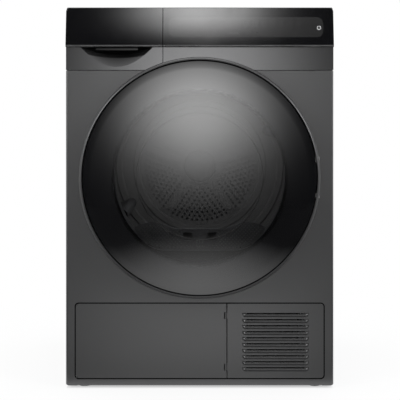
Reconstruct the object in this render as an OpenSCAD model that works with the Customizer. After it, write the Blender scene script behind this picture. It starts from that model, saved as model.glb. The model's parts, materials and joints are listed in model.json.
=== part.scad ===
// Front-loading heat-pump clothes dryer, 60 cm class.
// Millimetres. +Z up, front faces -Y, origin on the floor at the middle of the whole body.

/* [Cabinet] */
// Overall width
cab_w = 596; // [580:2:640]
// Overall height, floor to worktop
cab_h = 850; // [840:2:890]
// Depth from the front panel to the rear panel
cab_d = 595; // [590:5:640]
// Height of the base above the floor, bridged by the feet
foot_gap = 8; // [6:1:20]
// Sheet metal thickness of the cabinet
sheet_t = 1; // [0.8:0.1:1.5]
// Depth of the front panel's and the control head's side returns
return_d = 20; // [18:1:26]
// Radius of the vertical front edges
edge_r = 5; // [2:0.5:8]
// Radius of the front panel's lower corners
corner_r = 4; // [2:0.5:8]
// Visible seam between neighbouring panels
seam = 1.5; // [1:0.1:3]
// Thickness of the worktop
worktop_t = 16; // [12:1:20]
// Bevel along the worktop's edges
worktop_bevel = 2.5; // [1:0.5:5]
// Height of the plastic base above its underside
base_h = 32; // [26:1:36]
// How far the base's lugs reach below it beside the front feet
base_lug = 3.5; // [2:0.5:5]
// Wall thickness of plastic mouldings
wall = 3; // [2:0.1:3.5]
// How far the rear air duct cover stands out of the rear panel
duct_proud = 10; // [6:1:16]

/* [Control head] */
// Height of the glass panel
glass_h = 83.7; // [70:0.1:90]
// Thickness of the glass panels
glass_t = 3; // [2:0.5:4]
// How far the glass's lower edge stands in front of the front panel
glass_proud = 7; // [4:0.5:9]
// How far the glass's upper edge leans behind the front panel
glass_lean = 8; // [4:0.5:9]
// Worktop height above the glass's upper edge
glass_drop = 2; // [1:0.5:4]
// Height of the bright trim strip under the glass
trim_h = 3.9; // [2:0.1:6]
// Height of the recessed strip under the trim
strip_h = 50.9; // [44:0.1:56]
// Setback of the recessed strip
strip_set = 3.3; // [2:0.1:6]
// Radius of the glass's upper outer corners
head_corner_r = 8; // [4:0.5:12]
// Distance of the tank seam from the middle
tank_seam_x = 82; // [70:1:95]

/* [Water tank] */
// Length of the tank behind its front
tank_l = 460; // [400:5:480]
// Height of the tank body
tank_h = 70; // [60:1:71]
// Wall thickness of the tank
tank_wall = 2; // [1.5:0.1:3]
// Running clearance of the tank in its housing
tank_gap = 0.4; // [0.3:0.1:1]
// Depth of the finger scoop
scoop_deep = 20; // [12:1:22]
// Radius of the scoop at its upper edge
scoop_r = 173; // [120:1:200]
// Width of the finger slot behind the trim
grip_slot_w = 93; // [80:1:110]

/* [Door] */
// Width of the front panel beside the door
door_side_gap = 33; // [32:0.5:36]
// Height between the top of the door and the trim strip
door_top_gap = 24; // [23:0.5:28]
// Height between the plinth opening and the door
door_low_gap = 16.4; // [16:0.2:20]
// Width of the outer metal ring
ring_w = 6.4; // [5:0.1:9]
// Gap between the ring and the glass
ring_gap = 2.6; // [1:0.1:4]
// How far the door stands out of the front panel
door_proud = 50; // [48:1:56]
// Gap between the door's back and the front panel
door_gap = 2; // [1.5:0.1:4]
// Dome height of the door glass
dome_h = 5.5; // [3:0.5:8]
// Width of the bevelled band around the glass
glass_bevel = 12; // [8:1:18]
// Distance of the clear window's edge from the door's edge
window_inset = 75; // [72:1:81]
// How far the inner bowl reaches behind the front panel
bowl_deep = 40; // [30:1:42]
// Distance of the hinge axis from the door's edge
hinge_inset = 8; // [6:0.5:10]
// Hinge axis distance in front of the front panel
hinge_y = 24; // [22:0.5:26]
// Hinge pin radius
pin_r = 4; // [3:0.25:5]
// Radial clearance of pins and shafts in their bores
pin_fit = 0.05; // [0.02:0.01:0.1]
// Distance of each hinge lug from the door's middle height
lug_dist = 40; // [30:1:60]
// Thickness of each hinge lug
lug_t = 10; // [8:1:14]

/* [Port and lint filter] */
// Distance of the front panel's opening from the door's edge
panel_port_inset = 35; // [31:0.5:39]
// Distance of the loading port's edge from the door's edge, where it meets the drum
port_inset = 68.5; // [65:0.5:75]
// How far the port's flat bottom cuts into its circle
port_flat_rise = 28.5; // [24.5:1:36.5]
// Radius that blends the flat bottom into the round port
port_blend = 90; // [60:1:100]
// Distance of the lint filter's ends from the port's edge
filter_inset = 76.5; // [72.5:1:96.5]
// Front of the lint filter, behind the front panel
filter_y = 48; // [46:0.5:49]
// Depth of the lint filter, front to back
filter_d = 40; // [34:0.5:42]
// Height of the lint filter's basket
filter_h = 128; // [110:1:128]
// Height of the lint filter cover's middle above the flat bottom
filter_mid = 45; // [40:0.5:50]
// Rise of the cover's crowns over its middle
filter_rise = 14.4; // [8:0.2:16]
// Diameter of the cover's holes
filter_hole = 3; // [2.4:0.1:3.6]
// Pitch of the cover's holes along a row
filter_pitch = 8.4; // [7:0.1:10]

/* [Drum] */
// How far the drum reaches beyond the door's edge
drum_over = 21; // [11:0.5:22]
// Thickness of the drum's sheet
drum_t = 1; // [0.6:0.1:1.2]
// Front edge of the drum behind the front panel
drum_y = 100; // [98:1:106]
// Length of the drum
drum_l = 415; // [400:1:418]
// Height of the rolled beads around the drum
drum_bead = 3; // [1:0.5:4]
// Radius of the perforated star in the rear wall, as a share of the drum's
star_share = 0.556; // [0.52:0.002:0.58]
// Diameter of the star's holes
star_hole = 5.8; // [4:0.1:7]
// Number of rings of holes
star_rings = 10; // [8:1:11]
// Distance of the outer ring of holes from the star's edge
star_edge = 15.2; // [12:0.2:18]
// Width of the star's spokes
spoke_w = 15; // [10:1:24]
// Radius of the hub cap
hub_r = 42; // [34:1:48]
// Number of spokes
spokes = 5; // [3:1:7]
// Height of the lifters
lifter_h = 90; // [60:1:100]
// Width of the lifters at their foot
lifter_w = 74; // [50:1:90]
// Radius of the drum's shaft
shaft_r = 12.5; // [10:0.5:16]
// Thickness of the felt seals along their axis
felt_t = 14; // [8:0.5:15]
// Radius of the support rollers
roller_r = 25; // [20:1:28]
// Width of the support rollers
roller_w = 20; // [14:1:22]
// Angle of the rollers from straight down
roller_angle = 30; // [24:1:34]

/* [Drive] */
// Distance of the belt behind the front panel
belt_y = 240; // [236:1:244]
// Width of the belt
belt_w = 8; // [6:0.5:10]
// Thickness of the belt
belt_t = 2.5; // [1.5:0.1:3]
// Distance of the motor's axis from the right side panel
motor_side = 132; // [125:1:137]
// Motor axis height
motor_z = 130; // [126:1:132]
// Radius of the motor
motor_r = 58; // [50:1:60]
// Length of the motor
motor_l = 136; // [110:1:140]
// Radius of the motor pulley
pulley_r = 9; // [8:0.5:12]
// Radius of the motor shaft
motor_shaft_r = 6; // [5:0.5:7]
// Radius of the fan impeller
impeller_r = 78; // [60:1:79]
// Radius of the idler pulley
idler_r = 14; // [12:0.5:16]

/* [Heat pump] */
// Distance of the air duct from the left side panel
duct_side = 42; // [39:1:57]
// Height of the top of the air duct
duct_top = 150; // [140:1:152]
// Radius of the compressor
comp_r = 50; // [42:1:51]
// Height of the top of the compressor
comp_top = 204; // [170:1:206]
// Number of fins shown on each heat exchanger
fins = 22; // [10:1:30]
// Radius of the cooling fan
cool_r = 45; // [35:1:50]

/* [Plinth] */
// Height of the plinth opening's lower edge
plinth_z = 23; // [20:1:30]
// Height of the plinth opening's upper edge
plinth_top = 190; // [170:1:196]
// Distance of the plinth opening from the cabinet's side
plinth_side = 21.5; // [14:0.5:30]
// Corner radius of the plinth opening
plinth_r = 9; // [4:0.5:14]
// Position of the seam between flap and grille
plinth_split = 61; // [50:0.5:70]
// Thickness of the flap's and grille's faces
plinth_t = 3; // [2:0.5:4]
// Narrow seam around the flap and grille
plinth_seam = 0.8; // [0.5:0.1:1.5]
// Overlap of the grille's hidden flange behind the front panel
plinth_lap = 5; // [3:0.5:6]
// Number of louvres
louvres = 10; // [6:1:12]
// Distance between louvres
louvre_pitch = 13.4; // [12:0.1:14]
// Length of each louvre
louvre_l = 149; // [100:1:160]
// Height of each louvre's slot
louvre_slot = 3.6; // [2:0.1:5]
// Thickness of the louvred plate
louvre_t = 6; // [5:0.5:8]

/* [Feet] */
// Radius of the foot pads
foot_r = 12.5; // [10:0.5:16]
// Distance of the feet from the cabinet's side
foot_side = 39; // [30:1:60]
// Distance of the feet from the front and rear panels
foot_inset = 36; // [30:1:60]
// Radius of the feet's threaded studs
stud_r = 5; // [4:0.5:6]

/* [Hidden] */

$fn = 96;
eps = 0.01;
fine = 32;
gap = 0.3;

half_w = cab_w / 2;
in_w = half_w - sheet_t;
front_y = -(door_proud + cab_d + duct_proud) / 2 + door_proud;
rear_in = cab_d - sheet_t;
base_z = foot_gap;
base_top = base_z + base_h;
deck_z = cab_h - worktop_t;
glass_top = cab_h - glass_drop;
glass_bot = glass_top - glass_h;
trim_bot = glass_bot - trim_h;
strip_bot = trim_bot - strip_h;
panel_top = strip_bot - seam;
door_r = min(half_w - door_side_gap, (trim_bot - plinth_top - door_top_gap - door_low_gap) / 2);
door_z = plinth_top + door_low_gap + door_r;
window_r = door_r - window_inset;
panel_port_r = door_r - panel_port_inset;
port_r = door_r - port_inset;
port_flat = port_r - port_flat_rise;
filter_half = port_r - filter_inset;
drum_r = door_r + drum_over;
star_r = drum_r * star_share;
hinge_x = door_r - hinge_inset;
motor_x = in_w - motor_side;
duct_w = in_w - duct_side;
glass_back_lo = glass_t - glass_proud;
glass_back_hi = glass_t + glass_lean;
head_y = glass_back_hi + wall;
tank_x1 = -tank_seam_x - seam / 2;
fascia_x0 = -tank_seam_x + seam / 2;
arc_gap = 2.5;

guide_t = 2;
housing_x1 = tank_x1 - 5;
body_x0 = -in_w + guide_t + tank_gap;
body_x1 = housing_x1 - guide_t - tank_gap;
housing_z = deck_z - wall - tank_h - guide_t - 2 * tank_gap - 3;
tank_z = housing_z + guide_t + tank_gap;
scoop_x = -half_w + 113;
tank_y = strip_set + scoop_deep + wall;
tank_flange = 3;
housing_y = tank_y + tank_flange + gap;
scoop_low = strip_bot + 7;

ring_in = door_r - ring_w;
door_glass_r = ring_in - ring_gap;
door_back = -door_gap;
door_front = -door_proud;
glass_rim_y = door_front + dome_h + 3.5;
lug_reach = pin_r + 4;
hook_x = -panel_port_r - 15;
seal_r0 = window_r + 18;
seal_r1 = seal_r0 + 14;
seal_fit = 0.1;

bulk_y = drum_y - 3;
bulk_ring_r = drum_r - drum_t - felt_t - 0.4;
bulk_back = bulk_y + 20;
collar_rim = 25;
port_in_r = panel_port_r - sheet_t - collar_rim;
collar_t = 3;
collar_y = 4;
filter_top_z = door_z - port_flat;
cover_t = 3;
pocket_x = 27.5;
pocket_half = 10.5;
pocket_z0 = 19.5;
pocket_z1 = 37;

drum_back = drum_y + drum_l;
shroud_r = drum_r - 86;
bearing_y = drum_back + 38;
roller_c = drum_r + gap + roller_r;
axle_r = 5;
rotor_y0 = belt_y - 6;
motor_y0 = belt_y + 22;
motor_y1 = motor_y0 + motor_l;
fan_y0 = motor_y1 + 6;
fan_y1 = fan_y0 + 74;
scroll_r = impeller_r + 8;
idler_x = motor_x - 90;
idler_z = motor_z + 16;
arm_x = motor_x - 55;
arm_z = motor_z + 56;
arm_y = belt_y - belt_w / 2 - 6;
comp_x = in_w - comp_r - 47;
comp_y = (bulk_y + 32 + belt_y - belt_w / 2) / 2 - 1;
pipe_r = 4;
pipe_z = base_top + 40;
evaporator_y = 122;
evaporator_l = 110;
condenser_y = evaporator_y + evaporator_l + 18;
condenser_l = 140;
cool_x = (plinth_split + half_w - plinth_side) / 2;
cool_z = (plinth_z + plinth_top) / 2;
duct_y0 = 45;
flap_x0 = -half_w + plinth_side + plinth_seam;
flap_axis = plinth_split - plinth_t + 0.2;
notch_h = 15;
notch_lo = plinth_z + 17.5;
notch_hi = plinth_top - 19.5 - notch_h;
foot_x = half_w - foot_side;
bead_r = 9;
bead_lift = 6;
screw_r = 4;
screw_h = 2.5;
gland_x = -130;
gland_z = deck_z - 50;
stud_h = 30;

// ---------------------------------------------------------------- helpers

// Box between two corners, depths counted from the front panel
module block(x0, x1, y0, y1, z0, z1) {
  translate([x0, front_y + y0, z0]) cube([x1 - x0, y1 - y0, z1 - z0]);
}

// Front-view outline pulled from depth y0 to depth y1
module slab(y0, y1) {
  translate([0, front_y + y1, 0]) rotate([90, 0, 0]) linear_extrude(y1 - y0) children();
}

// Side-view outline, drawn as (depth, height), pulled from x0 to x1
module profile_x(x0, x1) {
  translate([x0, front_y, 0]) rotate([90, 0, 90]) linear_extrude(x1 - x0) children();
}

// Outline drawn as (radius, depth), turned about the drum's axis
module turned(x = 0, z = door_z) {
  translate([x, front_y, z]) rotate([-90, 0, 0]) rotate_extrude() children();
}

// Plain cylinder along the depth
module rod(x, z, r, y0, y1) {
  translate([x, front_y + y0, z]) rotate([-90, 0, 0]) cylinder(r=r, h=y1 - y0);
}

// Rectangle with round corners between two corners
module round_rect(x0, x1, z0, z1, r) {
  translate([x0 + r, z0]) square([x1 - x0 - 2 * r, z1 - z0]);
  translate([x0, z0 + r]) square([x1 - x0, z1 - z0 - 2 * r]);
  for (x = [x0 + r, x1 - r], z = [z0 + r, z1 - r]) translate([x, z]) circle(r, $fn=fine);
}

// Sausage along X, Y or Z with round ends
module capsule(axis, l, r) {
  turn = axis == "x" ? [0, 90, 0] : axis == "y" ? [90, 0, 0] : [0, 0, 0];
  rotate(turn) {
    cylinder(r=r, h=l, center=true, $fn=fine);
    for (s = [-1, 1]) translate([0, 0, s * l / 2]) sphere(r, $fn=fine);
  }
}

// Points along an arc
function arc(c, r, a0, a1, n=12) = [for (i = [0:n]) c + r * [cos(a0 + (a1 - a0) * i / n),
  sin(a0 + (a1 - a0) * i / n)]];

// Direction in which the outer tangent from circle p to circle q leaves p, the circles as [centre, radius]
function tangent_dir(p, q) = let (d = q[0] - p[0]) atan2(d[1], d[0]) - acos((p[1] - q[1]) / norm(d));

// Outline stretched like a band around circles given counter-clockwise
function band(rings, extra=0) = let (n = len(rings)) [for (i = [0:n - 1])
  let (a0 = tangent_dir(rings[(i + n - 1) % n], rings[i]), a1 = tangent_dir(rings[i], rings[(i + 1) % n]),
    sweep = (a1 - a0 + 720) % 360)
  each arc(rings[i][0], rings[i][1] + extra, a0, a0 + sweep, ceil(sweep / 4) + 1)];

// ---------------------------------------------------------------- cabinet

// Rounded front corners seen from above
module front_section(inset) {
  r = edge_r - inset;
  translate([-half_w + inset, -return_d]) square([cab_w - 2 * inset, return_d - edge_r]);
  translate([-half_w + edge_r, -edge_r]) square([cab_w - 2 * edge_r, r]);
  for (s = [-1, 1]) translate([s * (half_w - edge_r), -edge_r]) circle(r, $fn=48);
}

module panel_outline() {
  round_rect(-half_w, half_w, base_z, panel_top + corner_r, corner_r);
}

module front_panel() color("#45464a") {
  h = panel_top - base_z;
  shelf = 11;
  rim = return_d - 6;
  difference() {
    intersection() {
      translate([0, front_y, base_z]) mirror([0, 1, 0]) difference() {
        linear_extrude(h) front_section(0);
        translate([0, 0, sheet_t]) linear_extrude(h - 2 * sheet_t) difference() {
          front_section(sheet_t);
          translate([-half_w, -return_d - 1]) square([cab_w, 1]);
        }
        translate([-in_w, -return_d - eps, sheet_t]) cube([2 * in_w, return_d - edge_r, h - 2 * sheet_t]);
      }
      slab(-1, return_d + 1) panel_outline();
    }
    rod(0, door_z, panel_port_r - sheet_t, -1, return_d);
    slab(-1, sheet_t + 1) round_rect(-half_w + plinth_side, half_w - plinth_side, plinth_z, plinth_top,
      plinth_r);
    block(-in_w + return_d, in_w - return_d, sheet_t + shelf, return_d + 1, panel_top - 2 * sheet_t,
      panel_top + 1);
    block(-in_w, in_w, sheet_t, return_d + 1, base_z - 1, base_z + 2 * sheet_t);
    for (s = [-1, 1]) block(hinge_x - lug_reach - 1, hinge_x + lug_reach + 1, -1, sheet_t + 1,
      door_z + s * lug_dist - lug_t / 2 - 1, door_z + s * lug_dist + lug_t / 2 + 1);
    block(hook_x - 12, hook_x + 9.5, -1, sheet_t + 1, door_z - 16, door_z + 16);
  }
  difference() {
    rod(0, door_z, panel_port_r, 0, rim);
    rod(0, door_z, panel_port_r - sheet_t, -1, return_d);
  }
}

// Pressed bead: a groove outside and the matching ridge inside
module side_sheet() {
  flange = 12;
  edge = 64;
  beads = [for (i = [0:3]) return_d + edge + i * (cab_d - return_d - 2 * edge) / 3];
  bead_l = cab_h * 0.58;
  mid = (base_top + deck_z) / 2;
  difference() {
    union() {
      block(0, sheet_t, return_d, cab_d, base_z, deck_z);
      block(0, flange, return_d, return_d + sheet_t, base_top, strip_bot);
      intersection() {
        for (y = beads) translate([-bead_lift, front_y + y, mid]) capsule("z", bead_l, bead_r + sheet_t);
        block(0, flange, return_d, cab_d, base_z, deck_z);
      }
    }
    for (y = beads) translate([-bead_lift, front_y + y, mid]) capsule("z", bead_l, bead_r);
  }
}

module side_panel_left() color("#45464a") translate([-half_w, 0, 0]) side_sheet();

module side_panel_right() color("#45464a") translate([half_w, 0, 0]) mirror([1, 0, 0]) side_sheet();

module rear_panel() color("#a9adb0") {
  beads = [-in_w + 42, in_w - 42];
  bead_l = 480;
  flange = 14;
  slot_x = -duct_w + 55;
  slot_l = 90;
  slot_h = 4;
  difference() {
    union() {
      block(-in_w, in_w, rear_in, cab_d, base_z, deck_z);
      rod(0, door_z, shroud_r + sheet_t, drum_back + felt_t / 2 + 1.5, rear_in + eps);
      for (x = beads) intersection() {
        translate([x, front_y + cab_d + bead_lift, door_z]) capsule("z", bead_l, bead_r + sheet_t);
        block(-in_w, in_w, cab_d - bead_r - sheet_t, cab_d, base_z, deck_z);
      }
      block(-in_w, in_w, rear_in - flange, rear_in + eps, deck_z - sheet_t, deck_z);
      for (s = [-1, 1]) block(s > 0 ? in_w - sheet_t : -in_w, s > 0 ? in_w : -in_w + sheet_t,
        rear_in - flange, rear_in + eps, base_top, deck_z);
    }
    for (x = beads) translate([x, front_y + cab_d + bead_lift, door_z]) capsule("z", bead_l, bead_r);
    rod(0, door_z, shroud_r, drum_back, cab_d + 1);
    rod(motor_x, motor_z, scroll_r - 2, rear_in - 1, cab_d + 1);
    for (i = [0:5]) translate([0, 0, base_top + 26 + i * 3 * slot_h])
      block(slot_x, slot_x + slot_l, rear_in - 1, cab_d + 1, 0, slot_h);
    block(gland_x - 20, gland_x + 20, rear_in - 1, cab_d + 1, gland_z - 16, gland_z + 16);
  }
}

module rear_duct_cover() color("#b7bbbd") {
  lip = 14;
  keyhole = [[[0, door_z], shroud_r], [[motor_x, motor_z], scroll_r]];
  difference() {
    union() {
      slab(cab_d, cab_d + sheet_t) polygon(band(keyhole, lip));
      slab(cab_d, cab_d + duct_proud) polygon(band(keyhole));
    }
    slab(cab_d - 1, cab_d + duct_proud - sheet_t) polygon(band(keyhole, -sheet_t));
    for (r = [70, 130]) turned() polygon([[r - 7, cab_d + duct_proud + 1], [r - 3, cab_d + duct_proud - 0.7],
      [r + 3, cab_d + duct_proud - 0.7], [r + 7, cab_d + duct_proud + 1]]);
  }
}

// Screws around the duct cover's flange and down both edges of the panels
module rear_screws() color("#8c8f92") {
  on_flange = shroud_r + 7;
  on_scroll = scroll_r + 7;
  low = base_top - 14;
  high = deck_z - 22;
  for (a = [0:30:210]) rod(on_flange * cos(a), door_z + on_flange * sin(a), screw_r,
    cab_d + sheet_t, cab_d + sheet_t + screw_h);
  for (a = [260, 300, 340]) rod(motor_x + on_scroll * cos(a), motor_z + on_scroll * sin(a), screw_r,
    cab_d + sheet_t, cab_d + sheet_t + screw_h);
  for (s = [-1, 1], i = [0:4]) rod(s * (in_w - 12), low + i * (high - low) / 4, screw_r, cab_d,
    cab_d + screw_h);
}

module top_panel() color("#3d3e42") difference() {
  intersection() {
    block(-half_w, half_w, head_y + 0.5, cab_d, deck_z, cab_h);
    translate([0, 0, deck_z - 1]) linear_extrude(worktop_t + 2)
      round_rect(-half_w, half_w, front_y + head_y + 0.5, front_y + cab_d, edge_r);
  }
  for (s = [-1, 1]) translate([s * half_w, front_y, cab_h]) rotate([0, 45, 0])
    cube([worktop_bevel * sqrt(2), 4 * cab_d, worktop_bevel * sqrt(2)], center=true);
  for (y = [head_y + 0.5, cab_d]) translate([0, front_y + y, cab_h]) rotate([45, 0, 0])
    cube([2 * cab_w, worktop_bevel * sqrt(2), worktop_bevel * sqrt(2)], center=true);
  block(-half_w + wall, half_w - wall, return_d + wall, cab_d - wall, deck_z - 1, cab_h - 3 * wall);
}

module base_tray() color("#2b2c2e") difference() {
  base_cells = 5;
  rib_t = 3;
  rib_h = 8;
  lug_x = foot_x + foot_r + 2;
  intersection() {
    union() {
      difference() {
        block(-in_w, in_w, sheet_t, rear_in, base_z, base_top);
        block(-in_w + wall, in_w - wall, sheet_t + wall, rear_in - wall, base_z - 1, base_top - wall);
      }
      for (i = [1:base_cells - 1]) {
        x = -in_w + i * 2 * in_w / base_cells;
        y = i * cab_d / base_cells;
        block(x - rib_t / 2, x + rib_t / 2, sheet_t + 1, rear_in - 1, base_top - wall - rib_h, base_top - 1);
        block(-in_w + 1, in_w - 1, y - rib_t / 2, y + rib_t / 2, base_top - wall - rib_h, base_top - 1);
      }
      for (x = [-foot_x, foot_x], y = [foot_inset, cab_d - foot_inset]) rod_up(x, y, stud_r + 9, base_z,
        base_top);
      for (s = [-1, 1]) block(s > 0 ? lug_x : -in_w + wall, s > 0 ? in_w - wall : -lug_x,
        foot_inset - 24, foot_inset + 16, base_z - base_lug, base_z + 6);
    }
    union() {
      translate([0, front_y, base_z]) mirror([0, 1, 0]) linear_extrude(base_h)
        front_section(sheet_t + gap / 2);
      block(-in_w, in_w, return_d - eps, rear_in, base_z, base_top);
      for (s = [-1, 1]) block(s > 0 ? lug_x : -in_w + wall, s > 0 ? in_w - wall : -lug_x,
        foot_inset - 24, foot_inset + 16, base_z - base_lug, base_z + 6);
    }
  }
  for (x = [-foot_x, foot_x], y = [foot_inset, cab_d - foot_inset])
    rod_up(x, y, stud_r + pin_fit, base_z - 1, base_z + stud_h + 0.5);
  block(-half_w + plinth_side - 5, half_w - plinth_side + plinth_lap, -1, fan_frame_y() + 0.5,
    plinth_z + plinth_seam - plinth_lap - gap, base_top + 1);
}

// ---------------------------------------------------------------- plinth

module louvre(z) {
  r = 8;
  end = 9;
  intersection() {
    translate([cool_x, front_y - 2.5, z]) capsule("x", louvre_l - 2 * r, r);
    block(0, in_w, -20, 20, z - r, z + louvre_slot / 2);
  }
  block(cool_x - louvre_l / 2 + end, cool_x + louvre_l / 2 - end, -1, louvre_t + 1,
    z - louvre_slot / 2, z + louvre_slot / 2);
}

module vent_grille() color("#3f4043") {
  x0 = plinth_split + plinth_seam;
  x1 = half_w - plinth_side - plinth_seam;
  z0 = plinth_z + plinth_seam;
  z1 = plinth_top - plinth_seam;
  first = cool_z - (louvres - 1) * louvre_pitch / 2;
  difference() {
    intersection() {
      slab(0, louvre_t) round_rect(x0 - 20, x1, z0, z1, plinth_r - plinth_seam);
      block(x0, x1, -1, louvre_t + 1, z0, z1);
    }
    for (i = [0:louvres - 1]) louvre(first + i * louvre_pitch);
  }
  difference() {
    block(x0 + 4, x1 - 4, louvre_t - eps, fan_frame_y(), z0 + 4, z1 - 4);
    block(x0 + 4 + wall, x1 - 4 - wall, louvre_t - 1, 60, z0 + 4 + wall, z1 - 4 - wall);
  }
  difference() {
    slab(sheet_t, sheet_t + 2) round_rect(x0 - 20, x1 + plinth_lap, z0 - plinth_lap, z1 + plinth_lap,
      plinth_r);
    slab(0, sheet_t + 4) round_rect(x0 - 30, x1 - 3, z0 + 3, z1 - 3, plinth_r);
    block(-half_w, x0 + eps, 0, 10, 0, plinth_top + 60);
  }
  for (z = [notch_lo, notch_hi]) {
    block(flap_axis, x0 + 2, 1.6, 4.4, z + 0.6, z + notch_h - 0.6);
    translate([flap_axis, front_y + plinth_t, z + 0.6]) cylinder(r=plinth_t - 0.1, h=notch_h - 1.2, $fn=48);
    translate([flap_axis, front_y + plinth_t, z - 5]) cylinder(r=1.5, h=notch_h + 10, $fn=48);
  }
}

module service_flap() color("#45464a") difference() {
  z0 = plinth_z + plinth_seam;
  z1 = plinth_top - plinth_seam;
  union() {
    intersection() {
      slab(0, plinth_t) round_rect(flap_x0, flap_axis + 20, z0, z1, plinth_r - plinth_seam);
      block(-half_w, flap_axis, -1, 20, z0, z1);
    }
    translate([flap_axis, front_y + plinth_t, z0]) cylinder(r=plinth_t, h=z1 - z0, $fn=48);
    difference() {
      block(flap_x0 + 8, flap_axis - 8, plinth_t - eps, 10, z0 + 8, z1 - 8);
      for (i = [0:3]) block(flap_x0 + 8 + wall + i * cell_w(), flap_x0 + 8 + (i + 1) * cell_w(),
        plinth_t - 1, 11,
        z0 + 8 + wall, z1 - 8 - wall);
    }
    block(flap_x0 + 8, flap_x0 + 12, 9, 20, cool_z - 12, cool_z + 12);
  }
  for (z = [notch_lo, notch_hi]) {
    block(flap_axis - 4, flap_axis + 4, -1, 12, z, z + notch_h);
    translate([flap_axis, front_y + plinth_t, z - 7]) cylinder(r=1.5 + pin_fit, h=notch_h + 14, $fn=48);
  }
}

function cell_w() = (flap_axis - flap_x0 - 16 - wall) / 4;
function fan_frame_y() = 24;

// ---------------------------------------------------------------- control head

// Outline of the whole head seen from the front
module head_outline() {
  r = head_corner_r;
  translate([-half_w, strip_bot]) square([cab_w, glass_top - strip_bot - r]);
  translate([-half_w + r, strip_bot]) square([cab_w - 2 * r, glass_top - strip_bot]);
  for (s = [-1, 1]) translate([s * (half_w - r), glass_top - r]) circle(r, $fn=48);
}

function glass_back(z) = glass_back_lo + (z - glass_bot) * (glass_back_hi - glass_back_lo) / glass_h;

// Section of the head's moulding, closed by its end wall
module head_fill() polygon([[strip_set, strip_bot], [strip_set, glass_bot], [glass_back_lo, glass_bot],
  [glass_back_hi, glass_top], [head_y, glass_top], [head_y, deck_z], [return_d, deck_z], [return_d,
  strip_bot]]);

// Hollow behind the moulding's walls
module head_hollow() polygon([[strip_set + wall, strip_bot + wall], [strip_set + wall, glass_bot + wall],
  [glass_back(glass_bot + wall) + wall, glass_bot + wall], [glass_back(deck_z - wall) + wall, deck_z - wall],
  [return_d + 1, deck_z - wall], [return_d + 1, strip_bot + wall]]);

module head_moulding(x0, x1) intersection() {
  difference() {
    profile_x(x0, x1) head_fill();
    profile_x(x0 + wall, x1 - wall) head_hollow();
  }
  slab(-30, 60) head_outline();
}

module glass_plate(x0, x1) intersection() {
  profile_x(x0, x1) polygon([[glass_back_lo - glass_t, glass_bot], [glass_back_hi - glass_t, glass_top],
    [glass_back_hi, glass_top], [glass_back_lo, glass_bot]]);
  slab(-30, 60) head_outline();
}

module trim_bar(x0, x1) profile_x(x0, x1) polygon([[-glass_proud, trim_bot + 0.6], [-glass_proud - 0.4,
  glass_bot - 0.6],
  [-glass_proud, glass_bot], [strip_set, glass_bot], [strip_set, trim_bot], [-glass_proud + 0.6, trim_bot]]);

module control_fascia() color("#55565a") head_moulding(fascia_x0, half_w);

module control_glass() color("#0b0b0d") glass_plate(fascia_x0, half_w);

module glass_trim() color("#9b9da0") trim_bar(fascia_x0, half_w);

module tank_front_glass() color("#0b0b0d") glass_plate(-half_w, tank_x1);

module tank_glass_trim() color("#9b9da0") trim_bar(-half_w, tank_x1);

// Conical scoop about an upright axis in front of the strip
module scoop(extra) {
  translate([scoop_x, front_y + strip_set + scoop_deep - scoop_r, scoop_low - extra])
    cylinder(r1=scoop_r - scoop_deep + extra, r2=scoop_r + extra, h=trim_bot - scoop_low + extra, $fn=128);
}

module tank_front_grip() color("#55565a") difference() {
  union() {
    head_moulding(-half_w, tank_x1);
    intersection() {
      block(-half_w + 1, tank_x1 - 1, strip_set, strip_set + scoop_deep + wall, strip_bot, glass_bot + wall);
      scoop(wall);
    }
    block(scoop_x - grip_slot_w / 2 - wall, scoop_x + grip_slot_w / 2 + wall, strip_set,
      strip_set + scoop_deep + wall,
      trim_bot - 6, glass_bot + wall);
    block(-half_w + wall, tank_x1 - wall, return_d - wall, tank_y, tank_z + 2, tank_z + tank_h - 2);
  }
  scoop(0);
  block(scoop_x - grip_slot_w / 2, scoop_x + grip_slot_w / 2, strip_set - 1, strip_set + scoop_deep,
    trim_bot - 6, glass_bot);
  rod(0, door_z, door_r + arc_gap, -20, 60);
}

// ---------------------------------------------------------------- water tank

module water_tank() color("#d9dcde") difference() {
  union() {
    block(body_x0, body_x1, tank_y, tank_y + tank_l, tank_z, tank_z + tank_h - 4);
    block(-half_w + 20, tank_x1 - wall, tank_y, tank_y + tank_flange, tank_z + 6, tank_z + tank_h - 8);
  }
  block(body_x0 + tank_wall, body_x1 - tank_wall, tank_y + tank_wall, tank_y + tank_l - tank_wall,
    tank_z + tank_wall, tank_z + tank_h);
}

module tank_lid() color("#c9ccce") {
  top = tank_z + tank_h;
  difference() {
    block(body_x0, body_x1, tank_y, tank_y + tank_l, top - 4, top - 1.5);
    rod_up(scoop_x, tank_y + tank_l - 60, 16, top - 5, top);
    rod_up(body_x1 - 25, tank_y + 50, 12, top - 5, top);
  }
  for (i = [0:4]) block(body_x0 + 20, body_x1 - 20, tank_y + 90 + i * 60, tank_y + 94 + i * 60, top - 1.6,
    top);
}

// Upright cylinder
module rod_up(x, y, r, z0, z1) {
  translate([x, front_y + y, z0]) cylinder(r=r, h=z1 - z0);
}

module tank_housing() color("#e4e6e6") {
  top = tank_z + tank_h + tank_gap;
  back = tank_y + tank_l + 6;
  difference() {
    block(-in_w, housing_x1, housing_y, back + guide_t, housing_z, top);
    block(-in_w + guide_t, housing_x1 - guide_t, 0, back, housing_z + guide_t, top + 1);
    for (i = [0:3]) block(-in_w + 30, housing_x1 - 30, 80 + i * 100, 140 + i * 100, housing_z - 1,
      housing_z + guide_t + 1);
  }
  block(-in_w, -in_w + 14, housing_y, back + guide_t, top - eps, deck_z);
}

// ---------------------------------------------------------------- port and filter

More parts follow.
